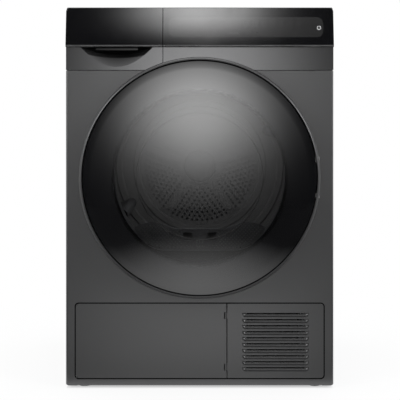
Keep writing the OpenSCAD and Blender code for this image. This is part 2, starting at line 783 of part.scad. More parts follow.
// Port opening: round, with a flat bottom blended in
function blend_x(r) = sqrt((r - port_blend) * (r - port_blend) - (port_flat - port_blend)
  * (port_flat - port_blend));
module port_hole(r) {
  bx = blend_x(r);
  c = port_blend - port_flat;
  a = atan2(c, bx);
  translate([0, door_z]) polygon(concat(arc([bx, c], port_blend, -90, a, 16), arc([0, 0], r, a, 180 - a, 72),
    arc([-bx, c], port_blend, 180 - a, 270, 16)));
}

module front_bulkhead() color("#a9adb0") difference() {
  union() {
    block(-in_w, in_w, bulk_y, bulk_y + sheet_t, base_top, housing_z);
    rod(0, door_z, bulk_ring_r, bulk_y, bulk_back);
    for (s = [-1, 1]) rod(s * roller_c * sin(roller_angle), door_z - roller_c * cos(roller_angle), axle_r,
      bulk_y, drum_y + 6 + roller_w + 3);
  }
  rod(0, door_z, bulk_ring_r - sheet_t, bulk_y - 1, bulk_back - sheet_t);
  rod(0, door_z, port_r + collar_t, bulk_y, bulk_back + 1);
  block(-duct_w - 1, 1, bulk_y - 1, bulk_y + 2, base_top - 1, duct_top + 1);
  block(cool_x - 60, cool_x + 60, bulk_y - 1, bulk_y + 2, base_top + 16, cool_z + 54);
  for (s = [-1, 1]) translate([s * (in_w - 72), 0, 0])
    block(-40, 40, bulk_y - 1, bulk_y + 2, housing_z - 60, housing_z - 36);
}

module port_collar() color("#6c6e70") difference() {
  turned() polygon([[port_in_r, collar_y], [port_in_r + collar_rim, collar_y], [port_in_r + collar_rim,
    collar_y + collar_t],
    [port_in_r + 6, collar_y + collar_t], [port_r + collar_t, bulk_back - 6], [port_r + collar_t,
    bulk_back + 4],
    [port_r, bulk_back + 4], [port_r, bulk_back - 12], [port_in_r, collar_y + 8]]);
  block(-well_half(), well_half(), filter_y - well_lead, bulk_back - 4, door_z - port_in_r - 36,
    door_z - well_rise);
}

well_rise = port_r * 0.68;
well_lead = 18;
neck_h = 22;
neck_x = 10;
well_join = 8;

function well_half() = filter_half + 35;

module filter_well() color("#5f6163") difference() {
  y0 = filter_y - well_lead;
  y1 = bulk_back - 4;
  low = duct_top + neck_h;
  union() {
    intersection() {
      slab(y0, y1) translate([-well_half(), door_z - port_in_r])
        square([2 * well_half(), port_in_r - well_rise]);
      rod(0, door_z, port_in_r, y0, y1);
    }
    block(-filter_half - wall, filter_half + wall, filter_y - wall, filter_y + filter_d + wall,
      low, filter_top_z + well_join);
    block(-filter_half - wall, -neck_x, filter_y - wall, filter_y + filter_d + wall, duct_top, low + 1);
  }
  slab(y0 - 1, y1 + 1) port_hole(port_r);
  block(-filter_half, filter_half, filter_y, filter_y + filter_d, low + wall, filter_top_z + 90);
  block(-filter_half, -neck_x - wall, filter_y, filter_y + filter_d, duct_top - 1, duct_top + 40);
}

module lint_filter() color("#3b3d3f") difference() {
  x = filter_half - gap;
  y0 = filter_y + gap;
  y1 = filter_y + filter_d - gap;
  z1 = filter_top_z;
  z0 = z1 - filter_h + 2;
  block(-x, x, y0, y1, z0, z1);
  block(-x + 2, x - 2, y0 + 2, y1 - 2, z0 + 2, z1 + 1);
  for (i = [0:4]) block(-x + 8 + i * (2 * x - 10) / 5, -x - 2 + (i + 1) * (2 * x - 10) / 5, y0 - 1, y1 + 1,
    z0 + 12, z1 - 14);
}

cover_tip = filter_half + 29;
level_x = 47;
crown_x = filter_half - 11;
crown_drop = 10.4;
fall_l = 82;

// Upper edge of the filter cover: level middle, two crowns, falling tips
function wave(x) = let (a = abs(x)) a < level_x ? filter_mid
  : a < crown_x ? filter_mid + filter_rise * (1 - cos(180 * (a - level_x) / (crown_x - level_x))) / 2
  : filter_mid + filter_rise - crown_drop * (1 - cos(180 * (a - crown_x) / fall_l));

// Cover outline above the flat bottom, inside the port
module cover_outline() intersection() {
  top = [for (i = [0:40]) let (x = cover_tip * (1 - i / 20)) [x, wave(x)]];
  translate([0, filter_top_z]) polygon(concat([[cover_tip, 0]], top, [[-cover_tip, 0]]));
  port_hole(port_r - 1);
}

module lint_filter_cover() color("#4a4c4e") {
  y0 = filter_y + 1;
  y1 = filter_y + filter_d - 1;
  rise = filter_mid + filter_rise;
  intersection() {
    slab(y0 - 5, y1 + 5) difference() {
      cover_outline();
      cover_holes();
    }
    profile_x(-cover_tip, cover_tip) translate([0, filter_top_z]) polygon([[y0, 0], [y0 + cover_t, 0],
      [y1, rise - cover_t],
      [y1, rise + 1], [y1 - cover_t, rise + 1]]);
  }
  for (s = [-1, 1]) difference() {
    pocket(s * pocket_x - pocket_half - 2, s * pocket_x + pocket_half + 2, pocket_z0 - 2, pocket_z1 + 2,
      1.5, 9);
    pocket(s * pocket_x - pocket_half, s * pocket_x + pocket_half, pocket_z0, pocket_z1, -5, 7);
  }
}

// Block that follows the cover's slope, from depth d0 to d1 behind its face
module pocket(x0, x1, z0, z1, d0, d1) {
  y0 = filter_y + 1;
  slope = (filter_d - 2 - cover_t) / (filter_mid + filter_rise + 1);
  profile_x(x0, x1) translate([y0, filter_top_z]) polygon([[z0 * slope + d0, z0], [z1 * slope + d0, z1],
    [z1 * slope + d1, z1], [z0 * slope + d1, z0]]);
}

module cover_holes() {
  rows = 14;
  row_h = filter_pitch / 2;
  for (i = [0:rows - 1], j = [-18:18]) {
    x = (j + (i % 2) / 2) * filter_pitch;
    z = 5 + i * row_h;
    inside = z < wave(x) - 5 && norm([x, z - port_flat]) < port_r - 7;
    middle = abs(x) < level_x - 5 && z > 11;
    if (inside && !middle && abs(x) > 13 && abs(x) < cover_tip - 5)
      translate([x, filter_top_z + z]) circle(filter_hole / 2, $fn=16);
  }
  for (s = [-1, 1]) translate([s * pocket_x, filter_top_z]) round_rect(-pocket_half, pocket_half,
    pocket_z0, pocket_z1, 3);
  for (i = [-1:1], z = [6, 14]) translate([i * 6.6 - 1.6, filter_top_z + z]) square([3.2, z > 10 ? 6 : 4]);
}

// ---------------------------------------------------------------- drum

module felt_seals() color("#6e6a64") {
  turned() polygon([[bulk_ring_r, drum_y + 1], [drum_r - drum_t - 0.4, drum_y + 1],
    [drum_r - drum_t - 0.4, drum_y + 1 + felt_t], [bulk_ring_r, drum_y + 1 + felt_t]]);
  turned() polygon([[shroud_r - 6, drum_back + drum_t + 0.4], [shroud_r + 8, drum_back + drum_t + 0.4],
    [shroud_r + 8, drum_back + felt_t / 2 + 1.5], [shroud_r - 6, drum_back + felt_t / 2 + 1.5]]);
}

// Wall of the barrel with rolled beads, drawn as (radius, depth)
module drum_barrel() color("#b9bcbf") {
  r = drum_r - drum_t;
  b = drum_bead;
  beads = [for (i = [0:2]) drum_y + drum_l * (0.24 + 0.29 * i)];
  inner = concat([[r, drum_y]], [for (y = beads) for (p = [[0, -14], [-b, -8], [-b, 8], [0,
    14]]) [r + p[0], y + p[1]]],
    [[r, drum_y + drum_l]]);
  outer = [for (i = [len(inner) - 1:-1:0]) inner[i] + [drum_t, 0]];
  turned() polygon(concat(inner, outer));
}

module spoke_mask(w) for (i = [0:spokes - 1]) rotate(90 + i * 360 / spokes) translate([0,
  -w / 2]) square([star_r, w]);

module drum_rear_wall() color("#a4a8ab") {
  r = drum_r - drum_t - 0.02;
  y = drum_back;
  difference() {
    slab(y, y + drum_t) difference() {
      translate([0, door_z]) circle(star_r);
      star_holes();
    }
    rod(0, door_z, shaft_r + 6, y - 1, y + 5);
  }
  lean = drum_t / 2;
  ridges = [[star_r - 0.5, 0, 0], [star_r + 4, 4, lean], [star_r + 16, 4, -lean], [star_r + 20, 0, -lean],
    [star_r + 46, 0, lean], [star_r + 50, 6, lean], [star_r + 63, 6, -lean], [star_r + 67, 0, -lean],
    [r - 20, 0, lean], [r - 14, 8, lean], [r, 8, 0]];
  turned() polygon(concat([for (p = ridges) [p[0], y - p[1]]],
    [for (i = [len(ridges) - 1:-1:0]) [ridges[i][0] + ridges[i][2], y - ridges[i][1] + drum_t]]));
  difference() {
    slab(y - 3, y + eps) translate([0, door_z]) intersection() {
      union() {
        spoke_mask(spoke_w);
        circle(hub_r + 6);
      }
      circle(star_r - 18);
    }
    rod(0, door_z, hub_r - 4, y - 4, y + 5);
  }
}

// Rings of staggered holes between the spokes, one hole more in each ring
module star_holes() {
  first = hub_r + 10;
  pitch = (star_r - star_edge - first) / (star_rings - 1);
  beside_spoke = 8;
  for (i = [0:star_rings - 1]) {
    r = first + i * pitch;
    steps = i + 2;
    step = (2 * PI * r / spokes - spoke_w - 2 * beside_spoke) / steps;
    for (s = [0:spokes - 1], k = [0:steps]) {
      a = 90 + (s + 0.5) * 360 / spokes + (k - steps / 2) * step / r * 180 / PI;
      translate([r * cos(a), door_z + r * sin(a)]) circle(star_hole / 2, $fn=16);
    }
  }
}

lifter_foot = drum_r - drum_t - drum_bead;

// Cross-section of a lifter: splayed foot, hollow flanks, round nose
function lifter_outline(inset) = let (half = lifter_w / 2 - inset, nose = 13 - inset,
  tip = lifter_foot - lifter_h + inset,
    flank = [for (i = [0:8]) let (t = i / 8) [lifter_foot + inset - t * (lifter_h - 18),
    nose + (half - nose) * pow(1 - t, 2.2)]])
  concat([for (p = flank) p], arc([tip + nose, 0], nose, 90, 270, 10), [for (i = [8:-1:0]) [flank[i][0],
  -flank[i][1]]]);

module drum_lifters() color("#3f4144") for (a = [28, 208]) translate([0, 0, door_z]) rotate([0, -a,
  0]) intersection() {
  translate([0, front_y + drum_y, 0]) rotate([-90, 0, 0]) difference() {
    translate([0, 0, 24]) linear_extrude(drum_l - 46) polygon(lifter_outline(0));
    translate([0, 0, 24 + wall]) linear_extrude(drum_l - 46 - 2 * wall) polygon(lifter_outline(wall));
  }
  translate([0, front_y + drum_y, 0]) rotate([-90, 0, 0]) cylinder(r=lifter_foot, h=drum_l);
}

module drum_shaft() color("#8d9092") {
  y = drum_back;
  turned() polygon(concat([[0, y - 12]], [for (i = [1:8]) [hub_r * sin(i * 90 / 8),
    y - 3.02 - 9 * cos(i * 90 / 8)]],
    [[hub_r, y - 3.02], [shaft_r, y - 3.02], [shaft_r, y + 60], [0, y + 60]]));
  difference() {
    rod(0, door_z, hub_r + 20, y + drum_t + 0.02, y + drum_t + 5);
    rod(0, door_z, shaft_r - 1, y - 1, y + 20);
  }
}

module rear_bearing() color("#7d8083") difference() {
  y0 = bearing_y;
  y1 = bearing_y + 18;
  union() {
    rod(0, door_z, shaft_r + 14, y0, y1);
    intersection() {
      for (a = [90, 210, 330]) translate([0, 0, door_z]) rotate([0, -a, 0])
        block(shaft_r + 6, shroud_r, y0 + 4, y1 - 4, -13, 13);
      rod(0, door_z, shroud_r - eps, y0, y1);
    }
  }
  rod(0, door_z, shaft_r + pin_fit, y0 - 1, y1 + 1);
}

module roller(s) {
  x = s * roller_c * sin(roller_angle);
  z = door_z - roller_c * cos(roller_angle);
  y0 = drum_y + 6;
  translate([x, front_y, z]) rotate([-90, 0, 0]) rotate_extrude() polygon([[axle_r + pin_fit, y0],
    [axle_r + 6, y0], [axle_r + 6, y0 + 6], [roller_r - 6, y0 + 6], [roller_r - 6, y0], [roller_r - 1.5,
    y0], [roller_r, y0 + 1.5],
    [roller_r, y0 + roller_w - 1.5], [roller_r - 1.5, y0 + roller_w], [roller_r - 6, y0 + roller_w],
    [roller_r - 6, y0 + roller_w - 6], [axle_r + 6, y0 + roller_w - 6], [axle_r + 6, y0 + roller_w],
    [axle_r + pin_fit, y0 + roller_w]]);
}

module roller_left() color("#26272a") roller(-1);

module roller_right() color("#26272a") roller(1);

// ---------------------------------------------------------------- drive

module drive_belt() color("#1b1b1c") slab(belt_y - belt_w / 2, belt_y + belt_w / 2) difference() {
  wheels = [[[0, door_z], drum_r], [[idler_x, idler_z], idler_r], [[motor_x, motor_z], pulley_r]];
  polygon(band(wheels, gap + belt_t));
  polygon(band(wheels, gap));
}

module motor() color("#6a6d70") difference() {
  union() {
    turned(motor_x, motor_z) polygon([[0, motor_y0], [22, motor_y0], [30, motor_y0 + 4], [motor_r - 4,
      motor_y0 + 8],
      [motor_r, motor_y0 + 14], [motor_r, motor_y1 - 14], [motor_r - 4, motor_y1 - 8], [30, motor_y1 - 4],
      [22, motor_y1], [0, motor_y1]]);
    for (y = [motor_y0 + 22, motor_y1 - 34]) difference() {
      block(motor_x - 36, motor_x + 36, y, y + 12, base_top, motor_z);
      block(motor_x - 24, motor_x + 24, y - 1, y + 13, base_top + 6, motor_z - motor_r - 6);
    }
    block(arm_x - 9, motor_x, motor_y0 + 18, motor_y0 + 26, motor_z + 30, arm_z + 9);
    rod(arm_x, arm_z, 4, arm_y - 6, motor_y0 + 19);
  }
  rod(motor_x, motor_z, motor_shaft_r + pin_fit, motor_y0 - 1, motor_y1 + 1);
}

module motor_shaft() color("#9ea1a4") {
  rod(motor_x, motor_z, motor_shaft_r, rotor_y0, fan_y1 - 18);
  turned(motor_x, motor_z) polygon([[0, rotor_y0], [pulley_r + 2, rotor_y0], [pulley_r + 2, rotor_y0 + 1.5],
    [pulley_r, rotor_y0 + 1.5], [pulley_r, rotor_y0 + 10.5], [pulley_r + 2, rotor_y0 + 10.5],
    [pulley_r + 2, rotor_y0 + 12], [0, rotor_y0 + 12]]);
}

module idler_arm() color("#8a8d90") difference() {
  union() {
    slab(arm_y - 3, arm_y) polygon(band([[[arm_x, arm_z], 11], [[idler_x, idler_z], 9]]));
    rod(idler_x, idler_z, 4, arm_y - 1, belt_y + belt_w / 2 + 4);
  }
  rod(arm_x, arm_z, 4 + pin_fit, arm_y - 10, arm_y + 10);
}

module idler_pulley() color("#2d2e30") turned(idler_x, idler_z) polygon([[4 + pin_fit, arm_y + 0.5],
  [idler_r + 2, arm_y + 0.5],
  [idler_r + 2, arm_y + 1.5], [idler_r, arm_y + 1.5], [idler_r, belt_y + belt_w / 2 + 0.5], [idler_r + 2,
  belt_y + belt_w / 2 + 0.5],
  [idler_r + 2, belt_y + belt_w / 2 + 2], [4 + pin_fit, belt_y + belt_w / 2 + 2]]);

module fan_impeller() color("#3a3b3d") {
  y0 = fan_y0 + 8;
  y1 = fan_y1 - 16;
  turned(motor_x, motor_z) polygon([[motor_shaft_r, y0], [impeller_r, y0], [impeller_r, y0 + 2.5], [16,
    y0 + 2.5], [14, y0 + 16],
    [motor_shaft_r, y0 + 16]]);
  turned(motor_x, motor_z) polygon([[impeller_r - 18, y1 - 2.5], [impeller_r, y1 - 2.5], [impeller_r, y1],
    [impeller_r - 18, y1]]);
  translate([motor_x, front_y, motor_z]) for (i = [0:23]) rotate([0, i * 15,
    0]) translate([impeller_r - 9, 0, 0]) rotate([0, 30, 0])
    translate([-8, y0 + 1, -0.8]) cube([15, y1 - y0 - 2, 1.6]);
}

// ---------------------------------------------------------------- heat pump in the base

module process_duct() color("#3c3e40") {
  link_z = duct_top - 12;
  difference() {
    union() {
      block(-duct_w, 0, duct_y0, fan_y1, base_top, duct_top);
      block(-1, motor_x - 30, fan_y0, fan_y1, base_top, link_z);
      rod(motor_x, motor_z, scroll_r + wall, fan_y0, fan_y1);
      block(motor_x - 40, motor_x + 40, fan_y0, fan_y1, base_top, motor_z);
      rod(motor_x, motor_z, scroll_r + wall, fan_y1 - 1, rear_in);
    }
    block(-duct_w + wall, -wall, duct_y0 - 1, fan_y1 - wall, base_top - 1, duct_top - wall);
    block(-wall - 1, motor_x - 30, fan_y0 + wall, fan_y1 - wall, base_top + wall, link_z - wall);
    rod(motor_x, motor_z, scroll_r, fan_y0 + wall, rear_in + 1);
    rod(motor_x, motor_z, motor_shaft_r + 1, fan_y0 - 1, fan_y1);
    block(-filter_half, -neck_x - wall, filter_y, filter_y + filter_d, duct_top - 10, duct_top + 1);
    for (p = [[comp_y, pipe_z], [condenser_y + condenser_l / 2, pipe_z + 30]]) translate([-wall - 1,
      front_y + p[0], p[1]])
      rotate([0, 90, 0]) cylinder(r=pipe_r + 0.3, h=wall + 2);
  }
}

module exchanger_cover() color("#5a5c5f") difference() {
  union() {
    block(-duct_w, 0, duct_y0 - 5, duct_y0 - 0.01, base_top, duct_top);
    for (x = [-duct_w + 22, -22]) rod(x, (base_top + duct_top) / 2, 13, duct_y0 - 12, duct_y0 - 5);
    for (x = [-duct_w + 22, -22]) block(x - 4, x + 4, duct_y0 - 17, duct_y0 - 12,
      (base_top + duct_top) / 2 - 20, (base_top + duct_top) / 2 + 12);
  }
  block(-duct_w + 52, -52, duct_y0 - 6, duct_y0 - 3, base_top + 14, duct_top - 14);
}

// Finned block with end plates and a row of tube bends
module exchanger(y0, y1) {
  x0 = -duct_w + 14;
  x1 = -14;
  z0 = base_top;
  z1 = duct_top - 10;
  pitch = (x1 - x0 - 8) / fins;
  difference() {
    block(x0, x1, y0, y1, z0, z1);
    for (i = [0:fins - 1]) block(x0 + 4 + (i + 0.25) * pitch, x0 + 4 + (i + 0.75) * pitch, y0 - 1, y1 + 1,
      z0 + 8, z1 + 1);
  }
  for (i = [0:3]) translate([x1 - eps, front_y + y0 + 14 + i * (y1 - y0 - 28) / 3, z0 + 30 + (i % 2) * 30])
    rotate([0, 90, 0]) cylinder(r=4.5, h=6, $fn=fine);
}

module evaporator() color("#8f9699") exchanger(evaporator_y, evaporator_y + evaporator_l);

module condenser() color("#a3948a") exchanger(condenser_y, condenser_y + condenser_l);

module compressor() color("#1f2022") {
  r = comp_r;
  turned_up(comp_x, comp_y) polygon(concat([[0, base_top + 8], [r - 6, base_top + 8], [r, base_top + 16]],
    [for (i = [0:8]) [r * cos(i * 90 / 8), comp_top - 26 + 26 * sin(i * 90 / 8)]]));
  for (a = [90, 210, 330]) translate([comp_x + (r - 6) * cos(a), front_y + comp_y + (r - 6) * sin(a),
    base_top]) {
    cylinder(r=9, h=10, $fn=fine);
  }
}

// Outline drawn as (radius, height), turned about an upright axis
module turned_up(x, y) {
  translate([x, front_y + y, 0]) rotate_extrude() children();
}

// Pipe with mitred round joints through axis-parallel points
module pipe(pts, r) {
  for (i = [0:len(pts) - 2]) {
    d = pts[i + 1] - pts[i];
    turn = abs(d[0]) > eps ? [0, 90 * sign(d[0]), 0] : abs(d[1]) > eps ? [-90 * sign(d[1]), 0,
      0] : [d[2] > 0 ? 0 : 180, 0, 0];
    translate([0, front_y, 0] + pts[i]) rotate(turn) cylinder(r=r, h=norm(d), $fn=fine);
    if (i > 0) translate([0, front_y, 0] + pts[i]) sphere(r, $fn=fine);
  }
}

module refrigerant_pipes() color("#b0713e") {
  pipe([[comp_x - comp_r, comp_y, duct_top + 4], [30, comp_y, duct_top + 4], [30, comp_y, pipe_z], [-8,
    comp_y, pipe_z]], pipe_r);
  pipe([[comp_x - comp_r, comp_y, pipe_z + 30], [60, comp_y, pipe_z + 30], [60,
    condenser_y + condenser_l / 2, pipe_z + 30],
    [-8, condenser_y + condenser_l / 2, pipe_z + 30]], pipe_r);
}

module cooling_fan() color("#2a2b2d") {
  y = 32;
  difference() {
    rod(cool_x, cool_z, 17, y, y + 20);
    rod(cool_x, cool_z, 3 + pin_fit, y + 6, y + 21);
  }
  for (i = [0:6]) translate([cool_x, front_y + y + 10, cool_z]) rotate([0, i * 360 / 7, 0]) translate([15,
    0, 0]) rotate([35, 0, 0])
    translate([0, -1, -11]) cube([cool_r - 17, 2, 22]);
}

module fan_frame() color("#4a4c4f") {
  half = cool_r + 5;
  difference() {
    block(cool_x - half, cool_x + half, fan_frame_y(), 64, cool_z - half, cool_z + half);
    rod(cool_x, cool_z, cool_r + 1.5, fan_frame_y() - 1, 65);
  }
  block(cool_x - half + 1, cool_x + half - 1, 58, 64, cool_z - 5, cool_z + 5);
  rod(cool_x, cool_z, 16, 56, 64);
  rod(cool_x, cool_z, 3, 39, 60);
  block(cool_x - 12, cool_x + 12, fan_frame_y() + 4, 64, base_top, cool_z - half + 1);
}

// ---------------------------------------------------------------- door

// Room for the fixed hinge lugs while the door swings
module lug_room() for (s = [-1, 1]) block(hinge_x - lug_reach - 1.5, door_r + 2, -hinge_y - 13.5, 1,
  door_z + s * lug_dist - lug_t / 2 - 1.2, door_z + s * lug_dist + lug_t / 2 + 1.2);

module door_ring() color("#5b5d61") difference() {
  turned() polygon([[ring_in, door_back], [door_r - 1, door_back], [door_r, door_back - 1], [door_r,
    door_front + 11],
    [door_r - 1.2, door_front + 7], [door_r - 3.6, door_front + 4.2], [ring_in + 0.8, door_front + 3.4],
    [ring_in, door_front + 4.4]]);
  lug_room();
  block(hinge_x - lug_reach - 1.5, door_r + 2, -hinge_y - lug_reach - 1, 1, door_z - lug_dist,
    door_z + lug_dist);
}

module door_glass() color("#141416") {
  flat_r = door_glass_r - glass_bevel;
  sphere_r = (flat_r * flat_r + dome_h * dome_h) / (2 * dome_h);
  steps = 20;
  dome = [for (i = [0:steps]) let (r = flat_r * i / steps) [r,
    door_front + sphere_r - sqrt(sphere_r * sphere_r - r * r)]];
  turned() polygon(concat(dome, [[door_glass_r, glass_rim_y], [door_glass_r, glass_rim_y + glass_t]],
    [for (i = [steps:-1:0]) dome[i] + [0, glass_t + 1]]));
}

module door_frame() color("#1a1a1c") difference() {
  lip = glass_rim_y + glass_t;
  turned() polygon([[window_r, door_back], [ring_in - 0.02, door_back], [ring_in - 0.02, glass_rim_y + 6],
    [door_glass_r + 0.2, lip + 0.02], [door_glass_r - 8, lip + 0.02], [door_glass_r - 8, lip + 3],
    [ring_in - 6, lip + 6],
    [ring_in - 6, door_back - 3], [seal_r0, door_back - 3], [seal_r0, lip + 2], [window_r + 15, lip + 2],
    [window_r + 15, door_back - 3], [window_r, door_back - 3]]);
  lug_room();
  block(hinge_x - lug_reach - 1.5, door_r + 2, -hinge_y - lug_reach - 1, 1, door_z - lug_dist,
    door_z + lug_dist);
  turned() polygon([[seal_r0, door_back - 1.5], [seal_r1, door_back - 1.5], [seal_r1, 1], [seal_r0, 1]]);
}

module door_window() color("#9aa0a4", 0.4) {
  t = 4;
  y = door_back - 3;
  r = window_r - 3;
  steps = 10;
  outer = concat([[r, y]], [for (i = [0:steps]) let (a = 90 * i / steps)
    [r - 26 - 14 * sin(a) + 6 * (1 - cos(a)) - 12 * i / steps, bowl_deep - 8 - 22 * cos(a)]], [[0,
    bowl_deep]]);
  inner = [for (i = [len(outer) - 1:-1:0]) outer[i] - [i == len(outer) - 1 ? 0 : t, t]];
  turned() polygon(concat([[window_r + 12, y], [r, y]], [for (i = [1:len(outer) - 1]) outer[i]], inner,
    [[window_r + 12, y - t]]));
}

module door_seal() color("#2a2a2b") turned() polygon([[seal_r0 + seal_fit, door_back - 1.5],
  [seal_r1 - seal_fit, door_back - 1.5],
  [seal_r1 - seal_fit, door_back + 1.5], [seal_r1 - 4, collar_y - gap], [seal_r0 + 5, collar_y - gap],
  [seal_r0 + seal_fit, door_back + 1.5]]);

module hinge_bracket() color("#8a8d90") difference() {
  union() {
    for (s = [-1, 1]) {
      z0 = door_z + s * lug_dist - lug_t / 2;
      block(hinge_x - 5.5, hinge_x + 5.5, -hinge_y, sheet_t + 2, z0, z0 + lug_t);
      translate([hinge_x, front_y - hinge_y, z0]) cylinder(r=lug_reach - 1, h=lug_t);
    }
    block(hinge_x - 17, hinge_x + 17, sheet_t, sheet_t + 3, door_z - lug_dist - 28, door_z + lug_dist + 28);
  }
  translate([hinge_x, front_y - hinge_y, door_z - lug_dist - 20]) cylinder(r=pin_r + pin_fit,
    h=2 * lug_dist + 40);
  for (s = [-1, 1]) rod(hinge_x + 7, door_z + s * (lug_dist + 18), 2.6, -1, 10);
}

module hinge_arm() color("#8a8d90") {
  reach = lug_dist - lug_t / 2 - 1;
  translate([hinge_x, front_y - hinge_y, door_z - lug_dist - lug_t / 2 - 1]) cylinder(r=pin_r,
    h=2 * lug_dist + lug_t + 2);
  translate([hinge_x, front_y - hinge_y, door_z - reach]) cylinder(r=lug_reach - 1, h=2 * reach);
  block(hinge_x - 40, hinge_x, -hinge_y - 3, -hinge_y + 3, door_z - reach, door_z + reach);
  block(hinge_x - 40, hinge_x - 16, -hinge_y - 3, door_back - 3, door_z - reach, door_z + reach);
}

module door_hook() color("#c5c8ca") difference() {
  union() {
    block(hook_x, hook_x + 8, door_back, 12, door_z - 7, door_z + 7);
    block(hook_x - 8, hook_x + 8, 12 - eps, 20, door_z - 7, door_z + 7);
  }
  translate([hook_x - 8, front_y + 22, door_z - 8]) rotate([0, 0, -45]) cube([6, 12, 16]);
}

module door_lock() color("#e2e4e4") difference() {
  block(hook_x - 16, -panel_port_r - 1.5, sheet_t, 40, door_z - 34, door_z + 34);
  block(hook_x - 12, hook_x + 10.5, 0, 32, door_z - 16, door_z + 16);
}

// ---------------------------------------------------------------- rear gland and feet

module cable_gland() color("#1d1d1f") difference() {
  union() {
    rod(gland_x, gland_z, 13, rear_in - 8, cab_d + 6);
    block(gland_x - 21.5, gland_x + 21.5, cab_d, cab_d + 2, gland_z - 18, gland_z + 18);
  }
  rod(gland_x, gland_z, 4, rear_in - 9, cab_d + 7);
}

module foot(sx, y) color("#cfd1d2") translate([sx * foot_x, front_y + y, 0]) {
  rotate_extrude() polygon([[0, 0], [foot_r - 1, 0], [foot_r, 1], [foot_r, foot_gap - 2], [foot_r - 1.5,
    foot_gap], [0, foot_gap]]);
  translate([0, 0, foot_gap - 1]) cylinder(r=stud_r, h=stud_h);
}

module foot_front_left() foot(-1, foot_inset);
module foot_front_right() foot(1, foot_inset);
module foot_rear_left() foot(-1, cab_d - foot_inset);
module foot_rear_right() foot(1, cab_d - foot_inset);

front_panel();
side_panel_left();
side_panel_right();
rear_panel();
rear_duct_cover();
rear_screws();
top_panel();
base_tray();
vent_grille();
service_flap();
control_fascia();
control_glass();
glass_trim();
tank_front_glass();
tank_front_grip();
tank_glass_trim();
water_tank();
tank_lid();
tank_housing();
front_bulkhead();
port_collar();
filter_well();
lint_filter();
lint_filter_cover();
felt_seals();
drum_barrel();
drum_rear_wall();
drum_lifters();
drum_shaft();
rear_bearing();
roller_left();
roller_right();
drive_belt();
motor();
motor_shaft();
idler_arm();
idler_pulley();
fan_impeller();
process_duct();
exchanger_cover();
evaporator();
condenser();
compressor();
refrigerant_pipes();
cooling_fan();
fan_frame();
door_ring();
door_glass();
door_frame();
door_window();
door_seal();
hinge_bracket();
hinge_arm();
door_hook();
door_lock();
cable_gland();
foot_front_left();
foot_front_right();
foot_rear_left();
foot_rear_right();
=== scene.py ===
"""Looks of a free-standing heat-pump clothes dryer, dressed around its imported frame.

Lengths are metres in the frame's own axes: +Z up, the front faces -Y, +X to the right seen from the front.
"""

import json
import logging
import math
from dataclasses import dataclass, field, replace
from enum import Enum

import bmesh
import bpy
from mathutils import Matrix, Vector


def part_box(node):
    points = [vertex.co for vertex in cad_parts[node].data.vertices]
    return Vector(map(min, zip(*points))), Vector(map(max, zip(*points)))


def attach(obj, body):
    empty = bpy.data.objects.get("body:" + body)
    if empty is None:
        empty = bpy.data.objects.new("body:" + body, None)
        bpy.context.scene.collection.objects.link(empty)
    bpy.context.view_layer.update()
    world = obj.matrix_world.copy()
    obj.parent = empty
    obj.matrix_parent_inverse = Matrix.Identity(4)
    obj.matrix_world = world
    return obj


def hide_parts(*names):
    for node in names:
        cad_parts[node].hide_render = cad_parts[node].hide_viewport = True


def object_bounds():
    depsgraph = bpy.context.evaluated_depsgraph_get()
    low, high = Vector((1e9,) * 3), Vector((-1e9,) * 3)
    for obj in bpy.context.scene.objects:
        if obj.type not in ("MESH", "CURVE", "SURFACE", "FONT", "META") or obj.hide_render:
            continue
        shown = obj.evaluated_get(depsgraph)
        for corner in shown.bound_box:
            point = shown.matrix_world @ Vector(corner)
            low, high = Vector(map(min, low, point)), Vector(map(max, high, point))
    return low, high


log = logging.getLogger("dryer")
Colour = tuple[float, float, float]
Point = tuple[float, float, float]
Pair = tuple[float, float]
Socket = bpy.types.NodeSocket
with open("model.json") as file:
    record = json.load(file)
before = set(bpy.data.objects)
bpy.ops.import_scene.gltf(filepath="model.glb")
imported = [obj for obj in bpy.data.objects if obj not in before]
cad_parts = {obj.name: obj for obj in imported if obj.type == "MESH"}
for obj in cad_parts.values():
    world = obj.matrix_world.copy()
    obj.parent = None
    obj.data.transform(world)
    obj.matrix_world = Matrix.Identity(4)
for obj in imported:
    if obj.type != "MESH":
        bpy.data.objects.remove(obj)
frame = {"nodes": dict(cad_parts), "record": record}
cad_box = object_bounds()
MM = 0.001
WHOLE: Pair = (0.0, 1.0)
MIDDLE: Pair = (0.3, 0.7)


def grey(value: float) -> Colour:
    """Returns a neutral colour."""
    return (value, value, value)


def shaded(colour: Colour, factor: float) -> Colour:
    """Returns a colour made darker or lighter, with no channel above 1."""
    return tuple(min(1.0, channel * factor) for channel in colour)


class Axis(Enum):
    """Direction along which a brushed or drawn surface runs."""

    X = (0.03, 1.0, 1.0)
    Y = (1.0, 0.03, 1.0)
    Z = (1.0, 1.0, 0.03)


class SeenBy(Enum):
    """What meets a staged sheet, as the visibility settings that stay on."""

    ALL = ("visible_camera", "visible_diffuse", "visible_shadow", "visible_glossy", "visible_transmission")
    MIRRORS = ("visible_glossy",)
    GLASS = ("visible_transmission",)


class LampShape(Enum):
    """Outline of an area light."""

    SQUARE = "SQUARE"
    ROUND = "DISK"


